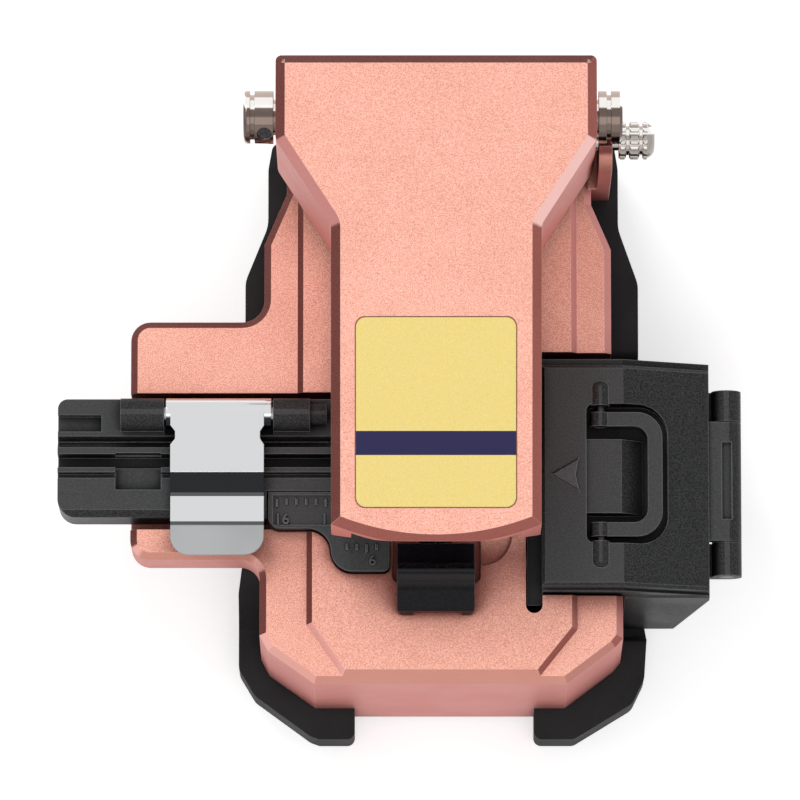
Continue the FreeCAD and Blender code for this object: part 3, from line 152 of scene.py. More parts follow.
handling_group = make_handling_group()
print("group:", handling_group.name)

# %% [markdown]
# The chamfers of the block and the lever are cut after blasting, so they have other tones than
# the flat faces. Each could be given a material slot of its own, but the solids may not be
# touched here, and a chamfer is the only face that leans, so the object's own normal finds it.
# The group puts out a mask for leaning faces and one for upright walls. Three more tell which way
# a face looks: to the right, to the front, or on a slant between the front and either side.
# The finishes use these three to place painted reflections on the chamfers.

# %% Chamfer group
UPRIGHT_BELOW = 0.25
LOOKS_FRONT = (0.5, 0.66)
LOOKS_RIGHT = (0.1, 0.6)
LOOKS_BOTH_WAYS = (0.12, 0.2)


def make_chamfer_group():
    masks = ["Chamfer", "Wall", "Right", "Front", "Diagonal"]
    tree, given, result = start_group("cut chamfers", {"Flattest": 0.94}, masks)
    across, along, upward = object_axes(tree, "Normal")
    flat = maths(tree, "GREATER_THAN", upward, given.outputs["Flattest"])
    leaning = maths(tree, "GREATER_THAN", upward, UPRIGHT_BELOW)
    wall = maths(tree, "LESS_THAN", maths(tree, "ABSOLUTE", upward), UPRIGHT_BELOW)
    forward = maths(tree, "MULTIPLY", along, -1.0)
    both = maths(tree, "MULTIPLY", maths(tree, "ABSOLUTE", across), forward)
    tree.links.new(maths(tree, "SUBTRACT", leaning, flat), result.inputs["Chamfer"])
    tree.links.new(wall, result.inputs["Wall"])
    tree.links.new(step_between(tree, across, *LOOKS_RIGHT), result.inputs["Right"])
    tree.links.new(step_between(tree, forward, *LOOKS_FRONT), result.inputs["Front"])
    tree.links.new(step_between(tree, both, *LOOKS_BOTH_WAYS), result.inputs["Diagonal"])
    return tree


chamfer_group = make_chamfer_group()
print("group:", chamfer_group.name)

# %% [markdown]
# No real edge is perfectly sharp. Solids with flat faces look hard until their edges catch light.
# A bevel modifier could round them, but it would change the solids, so the finish rounds only
# its normal a little near an edge, with Blender's bevel node.
# The group compares that rounded normal with the true one, which gives a mask of the edges.
# The finishes paint their edges paler with it, partly as wear and partly as painted highlight.

# %% Edge group
BEVEL_SAMPLES = 4
EDGE_RAMP = (0.02, 0.2)


def make_edge_group():
    tree, given, result = start_group("edge wear", {"Radius": 0.12}, ["Mask"])
    bevel = tree.nodes.new("ShaderNodeBevel")
    bevel.samples = BEVEL_SAMPLES
    tree.links.new(maths(tree, "MULTIPLY", given.outputs["Radius"], MM), bevel.inputs["Radius"])
    true_normal = tree.nodes.new("ShaderNodeNewGeometry").outputs["Normal"]
    compare = tree.nodes.new("ShaderNodeVectorMath")
    compare.operation = "DOT_PRODUCT"
    tree.links.new(bevel.outputs["Normal"], compare.inputs[0])
    tree.links.new(true_normal, compare.inputs[1])
    turned = maths(tree, "SUBTRACT", 1.0, compare.outputs["Value"])
    tree.links.new(step_between(tree, turned, *EDGE_RAMP), result.inputs["Mask"])
    return tree


edge_group = make_edge_group()
print("group:", edge_group.name)

# %% [markdown]
# Where one piece stands close over another, such as the lever over the deck, the light between
# them bounces from metal to metal and comes out deeper and redder. Lamps alone would need much
# tuning for that, so it is painted shade instead. Blender's occlusion node finds such places from
# the shape, in millimetres of reach, and the group turns it into a mask of painted shade. Its gain
# says how soon a place counts as shaded.

# %% Painted shade group
PAINTED_SHADE_SAMPLES = 6
PAINTED_SHADE_RAMP = (0.3, 0.85)


def make_painted_shade_group():
    tree, given, result = start_group("painted shade in close places", {"Reach": 10.0, "Gain": 1.0}, ["Mask"])
    cover = tree.nodes.new("ShaderNodeAmbientOcclusion")
    cover.samples = PAINTED_SHADE_SAMPLES
    tree.links.new(maths(tree, "MULTIPLY", given.outputs["Reach"], MM), cover.inputs["Distance"])
    covered = maths(tree, "SUBTRACT", 1.0, cover.outputs["AO"])
    sheltered = maths(tree, "MULTIPLY", covered, given.outputs["Gain"])
    tree.links.new(step_between(tree, sheltered, *PAINTED_SHADE_RAMP), result.inputs["Mask"])
    return tree


painted_shade_group = make_painted_shade_group()
print("group:", painted_shade_group.name)

# %% [markdown]
# Every finish starts from the same base: one Principled shader, a rounded normal, grain as a bump
# and handling marks in the roughness. The whole finish could be one large group, but the shader
# has to stay in the material for the export, so plain functions build the base
# and each finish then adds what only it has.

# %% Base of a finish
MIX_FACTOR, MIX_FIRST, MIX_SECOND, MIX_RESULT = 0, 6, 7, 2  # the Mix node's sockets for colours
GRAIN_DEPTH = 0.02


def use_group(tree, group, **values):
    """Place a shared group in a material with its own numbers."""
    node = tree.nodes.new("ShaderNodeGroup")
    node.node_tree = group
    for label, value in values.items():
        node.inputs[label].default_value = value
    return node


def mix_colours(tree, mask, first, second):
    """Colour that goes from first to second as the mask goes from 0 to 1."""
    node = tree.nodes.new("ShaderNodeMix")
    node.data_type = "RGBA"
    tree.links.new(mask, node.inputs[MIX_FACTOR])
    for i, colour in ((MIX_FIRST, first), (MIX_SECOND, second)):
        if isinstance(colour, tuple):
            node.inputs[i].default_value = (*colour, 1.0)
        else:
            tree.links.new(colour, node.inputs[i])
    return node.outputs[MIX_RESULT]


def start_finish(name, colour, metallic, roughness, grain_size, bump, edge_radius=0.12):
    """A material and its shader; roughness is its lowest and highest value, and sizes are in mm."""
    material = bpy.data.materials.new(name)
    material.use_nodes = True
    tree = material.node_tree
    shader = tree.nodes["Principled BSDF"]
    shader.inputs["Base Color"].default_value = (*colour, 1.0)
    shader.inputs["Metallic"].default_value = metallic
    low, high = roughness
    handling = use_group(tree, handling_group, Low=low, High=high)
    tree.links.new(handling.outputs["Roughness"], shader.inputs["Roughness"])
    rounded = tree.nodes.new("ShaderNodeBevel")
    rounded.samples = BEVEL_SAMPLES
    rounded.inputs["Radius"].default_value = edge_radius * MM
    raised = tree.nodes.new("ShaderNodeBump")
    raised.inputs["Strength"].default_value = bump
    raised.inputs["Distance"].default_value = GRAIN_DEPTH * MM
    grain = use_group(tree, grain_group, Size=grain_size)
    tree.links.new(grain.outputs["Height"], raised.inputs["Height"])
    tree.links.new(rounded.outputs["Normal"], raised.inputs["Normal"])
    tree.links.new(raised.outputs["Normal"], shader.inputs["Normal"])
    return material, tree, shader, grain


print("base of a finish ready")

# %% [markdown]
# The chamfers of the rose aluminium run from red-brown to pale pink with the way they face, on
# the block and on the lever each in its own order. These tones are painted reflections: a polished
# chamfer mirrors the dark or pale room around it, and its tone stands in for that. A finish
# therefore names five tones: for chamfers that look left, right and to the front, and for slants
# at the left and at the right. One mix after another picks the tone, and the last one, for the
# front, goes over the others.

# %% Painted reflections on the chamfers
CHAMFER_REFLECT_DARK = (0.14, 0.026, 0.019)
CHAMFER_REFLECT_BROWN = (0.30, 0.08, 0.062)
CHAMFER_REFLECT_PINK = (0.56, 0.23, 0.21)
CHAMFER_REFLECT_PALE = (0.90, 0.56, 0.52)
CHAMFER_REFLECT_FRONT = (0.58, 0.26, 0.2)
CHAMFER_REFLECT_BRIGHT = (0.84, 0.43, 0.38)


# Painted reflection: each chamfer gets a dark, brown, pink or pale tone by the way it faces.
def chamfer_reflection(tree, facing, left, right, front, slant_left, slant_right):
    straight = mix_colours(tree, facing.outputs["Right"], left, right)
    slant = mix_colours(tree, facing.outputs["Right"], slant_left, slant_right)
    sides = mix_colours(tree, facing.outputs["Diagonal"], straight, slant)
    return mix_colours(tree, facing.outputs["Front"], sides, front)


print("tones of the chamfers ready")

# %% [markdown]
# The deck is painted redder close beside the lever, as painted shade, and a painted shadow covers
# a wider stretch before the lever's nose, where the lamp behind the tool can't reach. The painted
# shade group does both: its reach and its gain are two numbers, and a mask along the deck's length
# runs them from the one pair to the other. Upright walls are left out of the wider stretch, because
# all they stand close to is the floor.

# %% Painted shade and shadow on the deck
ROSE_PAINTED_SHADE = (0.22, 0.055, 0.04)
REACH_BESIDE, REACH_BEFORE = 4.5, 14.0
GAIN_BESIDE, GAIN_BEFORE = 1.0, 2.2
NOSE_SHADE = (12.0, 16.0)


def nose_shadow_mask(tree, facing):
    """Painted shadow mask: 1 on the deck before the lever's nose; 0 on walls, beside the lever and
    behind it.
    """
    _, along, _ = object_axes(tree, "Object")
    forward = step_between(tree, maths(tree, "DIVIDE", along, -MM), *NOSE_SHADE)
    return maths(tree, "MULTIPLY", forward, maths(tree, "SUBTRACT", 1.0, facing.outputs["Wall"]))


def spread_between(tree, share, low, high):
    """A number that runs from low to high with a mask."""
    return maths(tree, "ADD", maths(tree, "MULTIPLY", share, high - low), low)


def paint_shade_on_rose(tree, facing, colour):
    """The colour with painted shade, deeper and redder where other pieces stand close."""
    before = nose_shadow_mask(tree, facing)
    painted_shade = use_group(tree, painted_shade_group)
    reach = spread_between(tree, before, REACH_BESIDE, REACH_BEFORE)
    gain = spread_between(tree, before, GAIN_BESIDE, GAIN_BEFORE)
    tree.links.new(reach, painted_shade.inputs["Reach"])
    tree.links.new(gain, painted_shade.inputs["Gain"])
    # Painted shade: the colour turns deep red where other pieces stand close.
    return mix_colours(tree, painted_shade.outputs["Mask"], colour, ROSE_PAINTED_SHADE)


print("shade reaches", REACH_BESIDE, "mm beside the lever and", REACH_BEFORE, "mm before it")

# %% [markdown]
# The block and the lever are rose anodised aluminium. Its blasted faces have pale and deep grains
# with a few painted glints, its side walls are smoother and pinker, and the sharp lines between
# faces are pale, from wear and painted highlight. One flat colour with a metallic shader would
# look like paint, so the colour is built in layers: grain, walls, chamfers with painted
# reflections, painted shade, painted glints and edges both worn and painted bright. One function
# makes both pieces' finishes.

# %% Rose aluminium
ROSE_DEEP = (0.62, 0.27, 0.20)
ROSE_PALE = (0.95, 0.50, 0.40)
ROSE_WALL = (0.58, 0.215, 0.19)
ROSE_GLINT = (1.0, 0.80, 0.74)
ROSE_EDGE = (0.96, 0.66, 0.58)
GLINT_SHARE = 0.05
ROSE_EDGE_RADIUS = 0.12
ROSE_EDGE_SHARE = 0.75
ROSE_FLATTEST = 0.94


def make_rose(name, **reflection_tones):
    material, tree, shader, grain = start_finish(
        name, ROSE_PALE, metallic=0.75, roughness=(0.5, 0.58), grain_size=0.11, bump=0.35)
    facing = use_group(tree, chamfer_group, Flattest=ROSE_FLATTEST)
    blasted = mix_colours(tree, grain.outputs["Mask"], ROSE_DEEP, ROSE_PALE)
    faces = mix_colours(tree, facing.outputs["Wall"], blasted, ROSE_WALL)
    # Painted reflection: the chamfers take the tones above by the way each one faces.
    cut = chamfer_reflection(tree, facing, **reflection_tones)
    whole = mix_colours(tree, facing.outputs["Chamfer"], faces, cut)
    whole = paint_shade_on_rose(tree, facing, whole)
    # Painted glints: a few grains turn near white, as if they caught the light.
    glints = maths(tree, "MULTIPLY", grain.outputs["Mask"], GLINT_SHARE)
    whole = mix_colours(tree, glints, whole, ROSE_GLINT)
    # Pale edges: partly wear, partly painted highlight.
    worn_and_lit = use_group(tree, edge_group, Radius=ROSE_EDGE_RADIUS)
    edges = maths(tree, "MULTIPLY", worn_and_lit.outputs["Mask"], ROSE_EDGE_SHARE)
    tree.links.new(mix_colours(tree, edges, whole, ROSE_EDGE), shader.inputs["Base Color"])
    return material


rose_base = make_rose(
    "rose anodised block",
    left=CHAMFER_REFLECT_DARK, right=CHAMFER_REFLECT_PINK, front=CHAMFER_REFLECT_FRONT, slant_left=CHAMFER_REFLECT_BRIGHT, slant_right=CHAMFER_REFLECT_BROWN)
rose_lever = make_rose(
    "rose anodised lever",
    left=CHAMFER_REFLECT_DARK, right=CHAMFER_REFLECT_BROWN, front=CHAMFER_REFLECT_BROWN, slant_left=CHAMFER_REFLECT_PINK, slant_right=CHAMFER_REFLECT_PALE)
print("finishes:", rose_base.name, "and", rose_lever.name)

# %% [markdown]
# The scrap bin, the fibre adapter and the scale plate are moulded black plastic with a satin grain.
# A level face is painted paler, as if lit from above, a leaning one or a wall is painted darker,
# and a groove or a recess gets painted shade that is nearly black. Plain black would lose all of
# that, so the tone follows the way a face looks and how enclosed it is, from the same groups as
# before. The edges are paler, partly rubbed and partly painted highlight.

# %% A black finish
LEVEL = 0.985
LIT_GRAIN = 1.5
LEAN_SHADE = 0.22
BLACK_PAINTED_SHADE = (0.004, 0.004, 0.0045)
BLACK_SHADE_REACH = 2.5
BLACK_SHADE_GAIN = 1.5
MOULDED_EDGE = 0.18
WORN_AND_LIT_RADIUS = 0.16


def scaled(colour, factor):
    return tuple(factor * part for part in colour)


def make_black(name, colour, edge_colour, roughness, grain_size, bump, wear_and_highlight, shine=0.3):
    material, tree, shader, grain = start_finish(
        name, colour, metallic=0.0, roughness=roughness, grain_size=grain_size, bump=bump,
        edge_radius=MOULDED_EDGE)
    shader.inputs["Specular IOR Level"].default_value = shine
    facing = use_group(tree, chamfer_group, Flattest=LEVEL)
    away = maths(tree, "MAXIMUM", facing.outputs["Chamfer"], facing.outputs["Wall"])
    # Painted light and shade: level faces paler, as if lit from above, leaning faces and walls darker.
    lit_level = mix_colours(tree, grain.outputs["Mask"], colour, scaled(colour, LIT_GRAIN))
    leaning = mix_colours(tree, grain.outputs["Mask"], scaled(colour, LEAN_SHADE), colour)
    whole = mix_colours(tree, away, lit_level, leaning)
    # Painted shade: grooves and recesses go nearly black.
    painted_shade = use_group(tree, painted_shade_group, Reach=BLACK_SHADE_REACH, Gain=BLACK_SHADE_GAIN)
    whole = mix_colours(tree, painted_shade.outputs["Mask"], whole, BLACK_PAINTED_SHADE)
    # Pale edges: partly wear, partly painted highlight.
    worn_and_lit = use_group(tree, edge_group, Radius=WORN_AND_LIT_RADIUS)
    edges = maths(tree, "MULTIPLY", worn_and_lit.outputs["Mask"], wear_and_highlight)
    tree.links.new(mix_colours(tree, edges, whole, edge_colour), shader.inputs["Base Color"])
    return material


print("black finish ready")

# %% [markdown]
# The knob is the same plastic, polished, so it has hardly any grain and its edges shine.
# The ticks and figures are rubbed by use, and are a little paler than the plate they stand on.
# The boots are rubber: darker, and rougher than both. The pads are a grey rubber.
# All five differ only in numbers, so they share the function above.

# %% Black plastics and rubber
PLASTIC, PLASTIC_EDGE = (0.052, 0.053, 0.054), (0.4, 0.4, 0.41)
GLOSS, GLOSS_EDGE = (0.006, 0.0065, 0.009), (0.16, 0.16, 0.22)
RUBBED, RUBBED_EDGE = (0.055, 0.056, 0.06), (0.38, 0.38, 0.39)
RUBBER, RUBBER_EDGE = (0.008, 0.0085, 0.0095), (0.045, 0.047, 0.05)
PAD, PAD_EDGE = (0.12, 0.12, 0.12), (0.2, 0.2, 0.2)

black_plastic = make_black(
    "satin black plastic", PLASTIC, PLASTIC_EDGE,
    roughness=(0.38, 0.48), grain_size=0.14, bump=0.5, wear_and_highlight=0.7, shine=0.12)
gloss_black = make_black(
    "polished black plastic", GLOSS, GLOSS_EDGE,
    roughness=(0.1, 0.16), grain_size=0.3, bump=0.05, wear_and_highlight=0.6, shine=0.12)
marked_black = make_black(
    "raised black marks", RUBBED, RUBBED_EDGE,
    roughness=(0.3, 0.36), grain_size=0.14, bump=0.3, wear_and_highlight=0.9)
rubber = make_black(
    "black rubber", RUBBER, RUBBER_EDGE,
    roughness=(0.68, 0.78), grain_size=0.2, bump=0.6, wear_and_highlight=0.5)
grey_pad = make_black(
    "grey rubber pad", PAD, PAD_EDGE,
    roughness=(0.6, 0.7), grain_size=0.2, bump=0.3, wear_and_highlight=0.3)
print("finishes:", black_plastic.name, gloss_black.name, marked_black.name, sep=", ")
print("rubbers:", rubber.name, "and", grey_pad.name)

# %% [markdown]
# Screws, springs, the blade and the bare aluminium pieces are plain metals. They differ only in
# tone and gloss, so one function makes them all, with a faint mottle from the grain group.

# %% Plain metals
METAL_EDGE = 0.08
METAL_GRAIN = 0.25
METAL_BUMP = 0.15


def make_metal(name, dark, light, roughness):
    material, tree, shader, grain = start_finish(
        name, light, metallic=1.0, roughness=roughness, grain_size=METAL_GRAIN, bump=METAL_BUMP,
        edge_radius=METAL_EDGE)
    tone = mix_colours(tree, grain.outputs["Mask"], dark, light)
    tree.links.new(tone, shader.inputs["Base Color"])
    return material


blackened_steel = make_metal(
    "blackened steel", dark=(0.03, 0.03, 0.032), light=(0.06, 0.06, 0.064), roughness=(0.25, 0.35))
screw_steel = make_metal(
    "screw steel", dark=(0.34, 0.34, 0.35), light=(0.48, 0.48, 0.49), roughness=(0.28, 0.36))
spring_steel = make_metal(
    "spring steel", dark=(0.42, 0.42, 0.42), light=(0.56, 0.56, 0.55), roughness=(0.2, 0.3))
plain_aluminium = make_metal(
    "bare aluminium", dark=(0.55, 0.55, 0.56), light=(0.7, 0.7, 0.71), roughness=(0.35, 0.45))
carbide = make_metal(
    "ground carbide", dark=(0.20, 0.20, 0.21), light=(0.30, 0.30, 0.31), roughness=(0.16, 0.24))
print("metals:", screw_steel.name, spring_steel.name, plain_aluminium.name, carbide.name, sep=", ")

# %% [markdown]
# The hinge caps and the lock pin are turned and nickel plated. A bright round bar mirrors its
# surroundings in bands along its length: light from above, dark from the bench in front, warm at
# the back. A pale studio has nothing to mirror, so the bands are laid on by the way the surface
# faces, and stay on the bar when it turns. The pin is the brighter of the two.

# %% Nickel plate
NICKEL_DARK, NICKEL_MID = (0.06, 0.04, 0.034), (0.14, 0.105, 0.09)
PIN_DARK, PIN_MID = (0.16, 0.14, 0.125), (0.36, 0.33, 0.31)
NICKEL_LIGHT = (0.92, 0.89, 0.86)
NICKEL_WARM = (0.42, 0.33, 0.285)
NICKEL_PLAIN = (0.66, 0.62, 0.585)
DARK_TO_MID = (-0.95, -0.7)
MID_TO_LIGHT = (0.14, 0.22)
LIGHT_TO_WARM = (0.58, 0.66)
PLAIN_TO_BANDED = (0.1, 0.4)


def make_nickel(name, dark, mid):
    """Bands on the upper side of a turned piece, from its front to its back, and plain below."""
    material, tree, shader, _ = start_finish(
        name, NICKEL_LIGHT, metallic=1.0, roughness=(0.1, 0.18), grain_size=METAL_GRAIN, bump=0.08,
        edge_radius=METAL_EDGE)
    _, backward, upward = object_axes(tree, "Normal")
    bands = mix_colours(tree, step_between(tree, backward, *DARK_TO_MID), dark, mid)
    bands = mix_colours(tree, step_between(tree, backward, *MID_TO_LIGHT), bands, NICKEL_LIGHT)
    bands = mix_colours(tree, step_between(tree, backward, *LIGHT_TO_WARM), bands, NICKEL_WARM)
    whole = mix_colours(tree, step_between(tree, upward, *PLAIN_TO_BANDED), NICKEL_PLAIN, bands)
    tree.links.new(whole, shader.inputs["Base Color"])
    return material


nickel = make_nickel("nickel plate", NICKEL_DARK, NICKEL_MID)
bright_nickel = make_nickel("bright nickel plate", PIN_DARK, PIN_MID)
print("finishes:", nickel.name, "and", bright_nickel.name)

# %% [markdown]
# The clip that holds the fibre down is a leaf of mirror-polished stainless steel.
# Under a soft light a mirror shows only what is above it, so its flat parts are pale,
# the bend that looks to the front is almost black, and the lifted lip lies between.
# The tones follow the leaf's own normal and length, so they stay with the clip when it opens.
# Each fold is a narrow round where the tone runs quickly, so a thin dark line marks it.

# %% Mirror steel
MIRROR_FLAT = (0.68, 0.69, 0.70)
MIRROR_BEND = (0.018, 0.019, 0.02)
MIRROR_LIP = (0.32, 0.33, 0.335)
MIRROR_FOLD = (0.10, 0.10, 0.105)
FLAT_TO_BEND = (0.15, 0.4)
FOLDS = [(-9.75, -9.4), (-12.75, -12.35)]
LIP_REAR = -12.6
LIP_DULLER = 0.45


def make_mirror():
    material, tree, shader, _ = start_finish(
        "mirror steel", MIRROR_FLAT, metallic=1.0, roughness=(0.05, 0.1), grain_size=0.3, bump=0.02,
        edge_radius=0.1)
    _, backward, _ = object_axes(tree, "Normal")
    _, place, _ = object_axes(tree, "Object")
    along = maths(tree, "DIVIDE", place, MM)
    bend = step_between(tree, maths(tree, "MULTIPLY", backward, -1.0), *FLAT_TO_BEND)
    lip = maths(tree, "LESS_THAN", along, LIP_REAR)
    toned = mix_colours(tree, bend, MIRROR_FLAT, MIRROR_BEND)
    toned = mix_colours(tree, lip, toned, MIRROR_LIP)
    for front, rear in FOLDS:
        past_front = maths(tree, "GREATER_THAN", along, front)
        inside = maths(tree, "MULTIPLY", past_front, maths(tree, "LESS_THAN", along, rear))
        toned = mix_colours(tree, inside, toned, MIRROR_FOLD)
    tree.links.new(toned, shader.inputs["Base Color"])
    handled = shader.inputs["Roughness"].links[0].from_socket
    duller = maths(tree, "MULTIPLY", lip, LIP_DULLER)
    tree.links.new(maths(tree, "ADD", handled, duller), shader.inputs["Roughness"])
    return material


mirror_steel = make_mirror()
print("finish:", mirror_steel.name)

# %% [markdown]
# The label on the lever is a plain yellow film with one dark blue band across it.
# The band is a stretch of the film's length, so two steps on the object's Y place it.
# That stays sharp at any distance, and needs neither a picture nor a second piece.

# %% Label film
LABEL_YELLOW = (1.0, 0.74, 0.20)
LABEL_PALE = (1.0, 0.84, 0.34)
LABEL_BAND = (0.02, 0.017, 0.08)
LABEL_SHINE = 0.2
BAND_FRONT = -7.68 * MM
BAND_REAR = -5.29 * MM
BAND_EDGE = 0.02 * MM


def make_label():
    material, tree, shader, grain = start_finish(
        "label film", LABEL_YELLOW, metallic=0.0, roughness=(0.4, 0.48), grain_size=0.12, bump=0.1)
    shader.inputs["Specular IOR Level"].default_value = LABEL_SHINE
    film = mix_colours(tree, grain.outputs["Mask"], LABEL_YELLOW, LABEL_PALE)
    _, along, _ = object_axes(tree, "Object")
    past_front = step_between(tree, along, BAND_FRONT - BAND_EDGE, BAND_FRONT + BAND_EDGE)
    past_rear = step_between(tree, along, BAND_REAR - BAND_EDGE, BAND_REAR + BAND_EDGE)
    band = maths(tree, "SUBTRACT", past_front, past_rear)
    tree.links.new(mix_colours(tree, band, film, LABEL_BAND), shader.inputs["Base Color"])
    return material


label_film = make_label()
print("finish:", label_film.name, "with a band of", round((BAND_REAR - BAND_FRONT) / MM, 2), "mm")

# %% [markdown]
# Each solid now gets its finish. The list goes by finish, not by piece,
# so that it reads like a painter's order, and a check at its end finds any piece left bare.

# %% Give every solid its finish
FINISHES = {
    rose_base: ["base_body"],
    rose_lever: ["lever_body"],
    black_plastic: ["adapter", "scale_plate", "bin_box", "bin_lid", "bin_handle"],
    gloss_black: ["carriage_knob", "clamp_blocks", "clamp_carrier", "clip_pad"],
    rubber: ["boot_left", "boot_right"],
    nickel: ["hinge_shaft", "hinge_collar", "clip_magnet"],
    bright_nickel: ["lock_pin"],
    mirror_steel: ["fibre_clip"],
    label_film: ["label_plate"],
    plain_aluminium: ["bottom_plate", "carriage", "clamp_arm", "anvil_holder", "blade_bracket"],
    carbide: ["blade_wheel"],
    grey_pad: ["lower_clamp_pads", "upper_clamp_pads", "stop_pads", "anvil"],
    spring_steel: ["clamp_springs", "guide_rail"],
    screw_steel: [
        "bottom_screws", "rail_screws", "knob_screw", "bracket_screws", "height_screw", "blade_screw",
        "clamp_block_screws", "arm_screws", "hinge_washers", "adapter_screws", "clip_pin", "bin_screws",
    ],
    blackened_steel: ["collar_set_screw", "lid_hinge_pin", "handle_pins"],
}


def dress(piece, material):
    piece.data.materials.clear()
    piece.data.materials.append(material)


for finish, names in FINISHES.items():
    for name in names:
        dress(nodes[name], finish)
bare = set(nodes) - {name for names in FINISHES.values() for name in names}
print("pieces without a finish:", sorted(bare))

# %% [markdown]
# The raised marks are thin solids that stand on the plastic: ticks, numbers and an arrow.
# A tick is a bar with a sloping foot, as a mould leaves it. It could be a scaled cube, but one
# function that makes a raised shape from any outline serves the arrow too: a wider foot, a
# narrower top, and walls between them. The foot is let into the plate a little, so no gap shows.

# %% A raised mark from an outline
LET_IN = 0.02


def add_object(name, data):
    """A new object in the scene, from a mesh, a text, a lamp or a lens."""
    piece = bpy.data.objects.new(name, data)
    bpy.context.scene.collection.objects.link(piece)
    return piece


def add_mesh(name, points, faces):
    mesh = bpy.data.meshes.new(name)
    mesh.from_pydata(points, [], faces)
    return add_object(name, mesh)


def raised_mesh(name, outlines, foot_z, height, slope):
    """One mesh of raised shapes; each outline is a list of (x, y) in millimetres."""
    points = []
    faces = []
    for corners in outlines:
        middle = Vector((sum(x for x, y in corners), sum(y for x, y in corners))) / len(corners)
        first = len(points)
        count = len(corners)
        for share, z in ((1.0, foot_z), (1.0 - slope, foot_z + height)):
            for corner in corners:
                spot = middle + (Vector(corner) - middle) * share
                points.append((spot.x * MM, spot.y * MM, z * MM))
        faces.append([first + count + i for i in range(count)])
        faces.append([first + i for i in reversed(range(count))])
        for i in range(count):
            following = (i + 1) % count
            faces.append([first + i, first + following, first + count + following, first + count + i])
    return add_mesh(name, points, faces)


print("raised marks are let in by", LET_IN, "mm")

# %% [markdown]
# The scale shows how long the bared fibre will be, in millimetres, with a longer tick every fifth.
# The ticks stand on the plate's sunk field, and its tab carries a second row nearer the knob.
# Only a row's first tick is given, and the others follow it at 1 mm.

# %% Ticks of the scale
FIELD_DEPTH = 0.2
TICK_RELIEF = 0.24
TICK_SLOPE = 0.3
TICK_WIDTH = 0.34
LONG_TICK = 1.05
SHORT_TICK = 0.82
LONG_EVERY = 5
FIRST_TICK_X = -12.57
TICK_REAR_Y = -9.71
TICKS_IN_ROW = 12
TAB_TICK_X = -5.4
TAB_TICK_REAR_Y = -14.4
TICKS_ON_TAB = 4
LONG_TAB_TICK = 2

plate_top = (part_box("scale_plate")[1] / MM).z
field_z = plate_top - FIELD_DEPTH - LET_IN


def bar(x, rear, length, width):
    half = width / 2
    return [(x - half, rear - length), (x + half, rear - length), (x + half, rear), (x - half, rear)]


def tick_row(first_x, rear, longs):
    """Outlines of ticks 1 mm apart; longs says of each whether it is a long one."""
    lengths = [LONG_TICK if is_long else SHORT_TICK for is_long in longs]
    return [bar(first_x + i, rear, length, TICK_WIDTH) for i, length in enumerate(lengths)]


row = tick_row(FIRST_TICK_X, TICK_REAR_Y, [i % LONG_EVERY == 0 for i in range(TICKS_IN_ROW)])
tab_row = tick_row(TAB_TICK_X, TAB_TICK_REAR_Y, [i == LONG_TAB_TICK for i in range(TICKS_ON_TAB)])
scale_ticks = raised_mesh("scale_ticks", row, field_z, TICK_RELIEF, TICK_SLOPE)
tab_ticks = raised_mesh("tab_ticks", tab_row, plate_top - LET_IN, TICK_RELIEF, TICK_SLOPE)
print("ticks:", len(row) + len(tab_row), "on the field at", round(field_z, 2), "mm")

# %% [markdown]
# The numbers beside the ticks are raised too. Blender's text object has an extrusion of its own,
# so plain figures need no modelling: they are placed by their first figure's lower left corner.

# %% Numbers of the scale
FIGURE_HEIGHT = 1.1
FIGURE_SHARE = 0.7  # the height of a figure in a text of size 1
FIGURE_RELIEF = 0.22
FIGURE_ROUND = 0.02
FIGURE_STEPS = 3
FIELD_FIGURES_Y = -12.42
TAB_FIGURE_Y = -16.7
FIGURES = {
    "16": (-12.85, FIELD_FIGURES_Y, field_z),
    "11": (-8.1, FIELD_FIGURES_Y, field_z),
    "6": (-3.2, TAB_FIGURE_Y, plate_top),
}


def raised_number(text, x, y, z):
    curve = bpy.data.curves.new("figure_" + text, "FONT")
    curve.body = text
    curve.size = FIGURE_HEIGHT / FIGURE_SHARE * MM
    curve.extrude = FIGURE_RELIEF / 2 * MM
    curve.bevel_depth = FIGURE_ROUND * MM
    curve.resolution_u = FIGURE_STEPS
    piece = add_object("figure_" + text, curve)
    piece.location = (x * MM, y * MM, (z + FIGURE_RELIEF / 2) * MM)
    return piece


figures = [raised_number(text, *place) for text, place in FIGURES.items()]
print("figures:", [piece.data.body for piece in figures])

# %% [markdown]
# The arrow on the bin's lid points to the edge that lifts. It is a dart with a hollow back,
# raised a little from the lid, and its sloping sides catch the light.
# Four corners give the dart, and the function for raised marks does the rest.

# %% Arrow on the lid
LID_FLAT_Z = 23.5
ARROW_RELIEF = 0.26
ARROW_SLOPE = 0.24
DART = [(15.16, -7.56), (18.43, -9.53), (18.0, -7.65), (18.4, -5.68)]

lid_top = (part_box("bin_lid")[1] / MM).z
lid_arrow = raised_mesh("lid_arrow", [DART], LID_FLAT_Z - LET_IN, ARROW_RELIEF, ARROW_SLOPE)
print("arrow on the lid at", LID_FLAT_Z, "of", round(lid_top, 2), "mm")

# %% [markdown]
# The lock pin's head is knurled so that fingers can pull it. Its three bands are cut lengthwise,
# like a gear with many small teeth, with a groove between each band and the next.
# A ring of teeth is a formula: the radius goes up and down with the angle, and four such rings
# make a band, of which the outer two lie inside the pin so that the teeth end in slopes.

# %% Knurled bands of the lock pin
PIN_RADIUS = 1.8
KNURL_LET_IN = 0.03
TOOTH = 0.16
TOOTH_RUN = 0.1
TEETH = 18
STEPS_PER_TOOTH = 4
BAND_ENDS = [(22.36, 23.0), (23.4, 24.35), (24.75, 25.25)]

pin_low, pin_high = (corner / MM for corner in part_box("lock_pin"))
pin_y = (pin_low.y + pin_high.y) / 2
pin_z = (pin_low.z + pin_high.z) / 2


